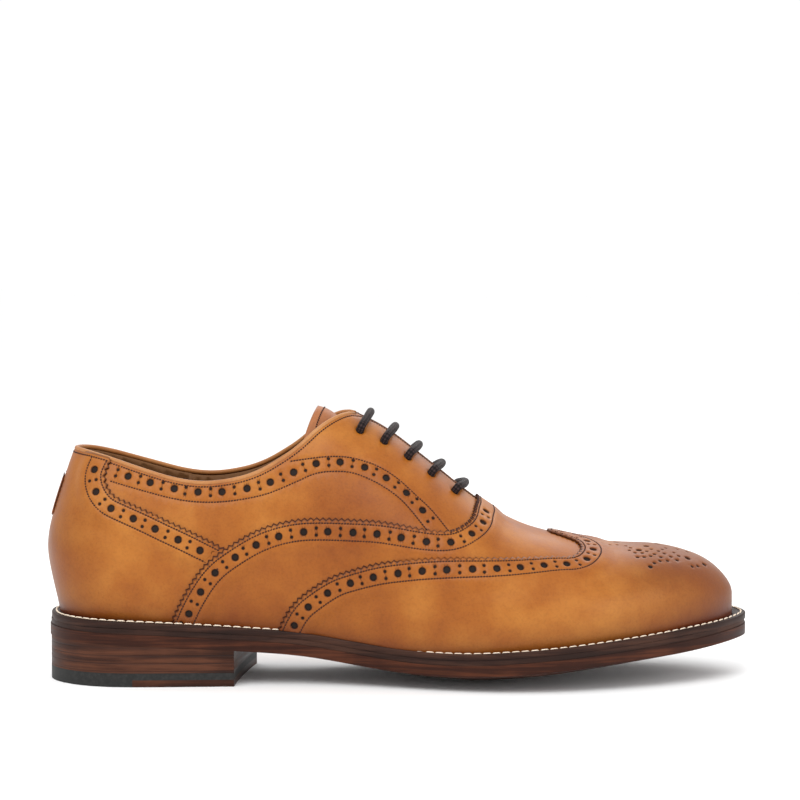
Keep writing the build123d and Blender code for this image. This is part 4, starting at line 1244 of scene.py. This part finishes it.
def instep_point(station, aside, rise):
    """Point at a height above the instep's surface, square to it."""
    here = instep_at(station, aside, 0.0)
    along = instep_at(station + 0.5, aside, 0.0) - instep_at(station - 0.5, aside, 0.0)
    side = instep_at(station, aside + 0.5, 0.0) - instep_at(station, aside - 0.5, 0.0)
    return here + unit(np.cross(along, side)) * rise


# half a bar from its eyelet to the middle: shares of BAR_LEAD and EYELET_OFFSET, and height
HALF_BAR = [(0, 1, -RUN_DEPTH), (0, 1, 0.0), (0.1, 0.93, BAR_RISE), (0.75, 0.5, BAR_RISE)]
BAR = [(lead, -aside, rise) for lead, aside, rise in HALF_BAR] + [(1, 0.0, BAR_RISE)] + HALF_BAR[::-1]
FIRST_END, LAST_END = [(-10.0, -21.5, -5.0), (-3.0, -20.5, -4.7)], [(3.0, 20.5, -4.7), (10.0, 21.5, -5.0)]
route = [instep_point(EYELET_STATIONS[-1] + ahead, aside, rise) for ahead, aside, rise in FIRST_END]
for number, station in enumerate(reversed(EYELET_STATIONS)):
    heading = 1 if number % 2 == 0 else -1
    for lead, aside, rise in BAR:
        route.append(instep_point(station + lead * BAR_LEAD, heading * aside * EYELET_OFFSET, rise))
route += [instep_point(EYELET_STATIONS[0] + ahead, aside, rise) for ahead, aside, rise in LAST_END]
lace = tube("lace_braided", curve_through(route, 8), LACE_RADIUS, braided(), 16)
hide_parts("lace")

# ---------------------------------------------------------------- sole
SOLE_OUTLINE = [(1, 0), (6, -20), (22, -33), (50, -36), (90, -34), (120, -34.5), (150, -41),
                (180, -50), (207, -54), (237, -49.5), (265, -38), (290, -22), (305, -5), (311, 9),
                (306, 25), (290, 38), (265, 46), (240, 50), (215, 50.5), (190, 47), (160, 38),
                (130, 30), (100, 29), (70, 32.5), (40, 34.5), (18, 29), (5, 15)]
WELT_TOP, WELT_FOOT = SOLE_TO_WELT, 7.2  # heights over the underside of the sole


def sole_line(inset, height, step=1.0):
    """Closed line round the sole, moved in from its edge, at a height above its underside."""
    corners = np.array(SOLE_OUTLINE, float)
    dense = curve_through(np.vstack([corners[-2:], corners, corners[:3]]))[24:-24]
    dense = dense[:12 * len(corners)]
    run = unit(np.roll(dense, -1, 0) - np.roll(dense, 1, 0))
    moved = dense + np.stack([-run[:, 1], run[:, 0]], -1) * inset
    closed, moved = np.vstack([dense, dense[:1]]), np.vstack([moved, moved[:1]])
    length = run_length(closed)
    marks = np.linspace(0, length[-1], int(length[-1] / step), endpoint=False)
    s, side = np.interp(marks, length, moved[:, 0]), np.interp(marks, length, moved[:, 1])
    return np.stack([s - HALF_LENGTH, SIDE_SHIFT + side, underside(s, side) + height], -1)


# the welt's section, with a groove for its stitches: insets, and heights under its top
WELT_DEPTH = WELT_TOP - WELT_FOOT
WELT_SECTION = [(7.5, WELT_DEPTH), (0.2, WELT_DEPTH), (0.0, WELT_DEPTH - 0.25), (0.0, 0.75), (0.12, 0.4),
                (0.55, 0.12), (1.1, 0.02), (1.35, 0.2), (1.6, 0.02), (4.0, 0.0), (7.5, 0.0)]
rings = [sole_line(inset, WELT_TOP - down) for inset, down in WELT_SECTION]
faces = ring_faces(len(rings), len(rings[0]), wrapped=True)
welt = new_object("welt_band", np.vstack(rings), faces, WELT_EDGE)
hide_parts("welt")
WELT_STITCH = capsule(3.75, 0.72, 0.62, 8)
seam_line = sole_line(2.1, WELT_TOP + 0.12, 4.2)
ahead = unit(np.roll(seam_line, -1, 0) - np.roll(seam_line, 1, 0))
upright = unit(np.cross(np.cross(ahead, (0, 0, 1)), ahead))
stitches("welt_stitches", [(seam_line, ahead, upright)], PALE_THREAD, WELT_STITCH, turn=0.1)

# ---------------------------------------------------------------- finishes of the carried-over CAD pieces
FINISHES = {
    "outsole": SOLE_EDGE, "midsole": WELT_EDGE, "insole": INSOLE, "sock_liner": SOCK_TAN,
    "shank": STEEL, "cork_filler": CORK, "heel_lift_1": STACK, "heel_lift_2": STACK, "heel_lift_3": STACK,
    "heel_nails": BRASS, "top_piece_leather": STACK, "top_piece_rubber": RUBBER, "toe_puff": BOARD,
    "side_stiffener_lateral": BOARD, "side_stiffener_medial": BOARD,
    "blind_eyelets": BRASS, "aglets": AGLET,
}
for node, finish in FINISHES.items():
    for material_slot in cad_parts[node].material_slots:
        material_slot.link = "OBJECT"
        material_slot.material = finish


# ---------------------------------------------------------------- camera, light and floor
def area_light(name, place, aim, size, power):
    light = bpy.data.lights.new(name, "AREA")
    light.shape = "RECTANGLE"
    light.size, light.size_y = size
    light.energy = power
    lamp = bpy.data.objects.new(name, light)
    lamp.location = place
    lamp.rotation_euler = (Vector(aim) - Vector(place)).to_track_quat("-Z", "Y").to_euler()
    bpy.context.scene.collection.objects.link(lamp)


scene = bpy.context.scene
camera = bpy.data.objects.new("camera", bpy.data.cameras.new("camera"))
LENS_MM, SENSOR_MM, CAMERA_TILT = 118.9, 36.0, 3.5  # the tilt is in degrees, downwards
camera.data.sensor_width = SENSOR_MM
camera.data.lens = LENS_MM
camera.location = (0.0008, -1.168, 0.194)
camera.rotation_euler = (radians(90 - CAMERA_TILT), 0, 0)
camera.data.clip_start, camera.data.clip_end = 0.05, 30.0
scene.collection.objects.link(camera)
scene.camera = camera

area_light("key", (-0.25, -0.75, 0.95), (0, 0, 0.04), (0.9, 0.6), 7.0)
area_light("fill", (0.9, -0.8, 0.4), (0.05, 0, 0.04), (0.7, 0.7), 2.5)
area_light("back", (0.1, 0.9, 0.8), (0, 0, 0.06), (1.2, 0.5), 4.0)
world = bpy.data.worlds.new("studio")
scene.world = world
world.use_nodes = True
studio_light = world.node_tree.nodes["Background"]
studio_light.inputs["Color"].default_value = (1.0, 1.0, 1.0, 1.0)
studio_light.inputs["Strength"].default_value = 1.03
scene.view_settings.view_transform = "Standard"

floor_mesh = bpy.data.meshes.new("floor")
floor_mesh.from_pydata([(-6, -3, FLOOR), (6, -3, FLOOR), (6, 9, FLOOR), (-6, 9, FLOOR)], [], [(0, 1, 2, 3)])
floor = bpy.data.objects.new("floor", floor_mesh)
scene.collection.objects.link(floor)
white = Paint("floor_paper", Specular_IOR_Level=0.2)
floor_tone = white.ramp(white.noise(40.0), (0.0, (0.965,) * 3), (1.0, (0.985,) * 3))
floor_roughness = white.span(white.noise(300.0), 0.75, 0.85)
floor_mesh.materials.append(white.finish(floor_tone, floor_roughness, [(white.noise(900.0), 0.05, 0.2)]))
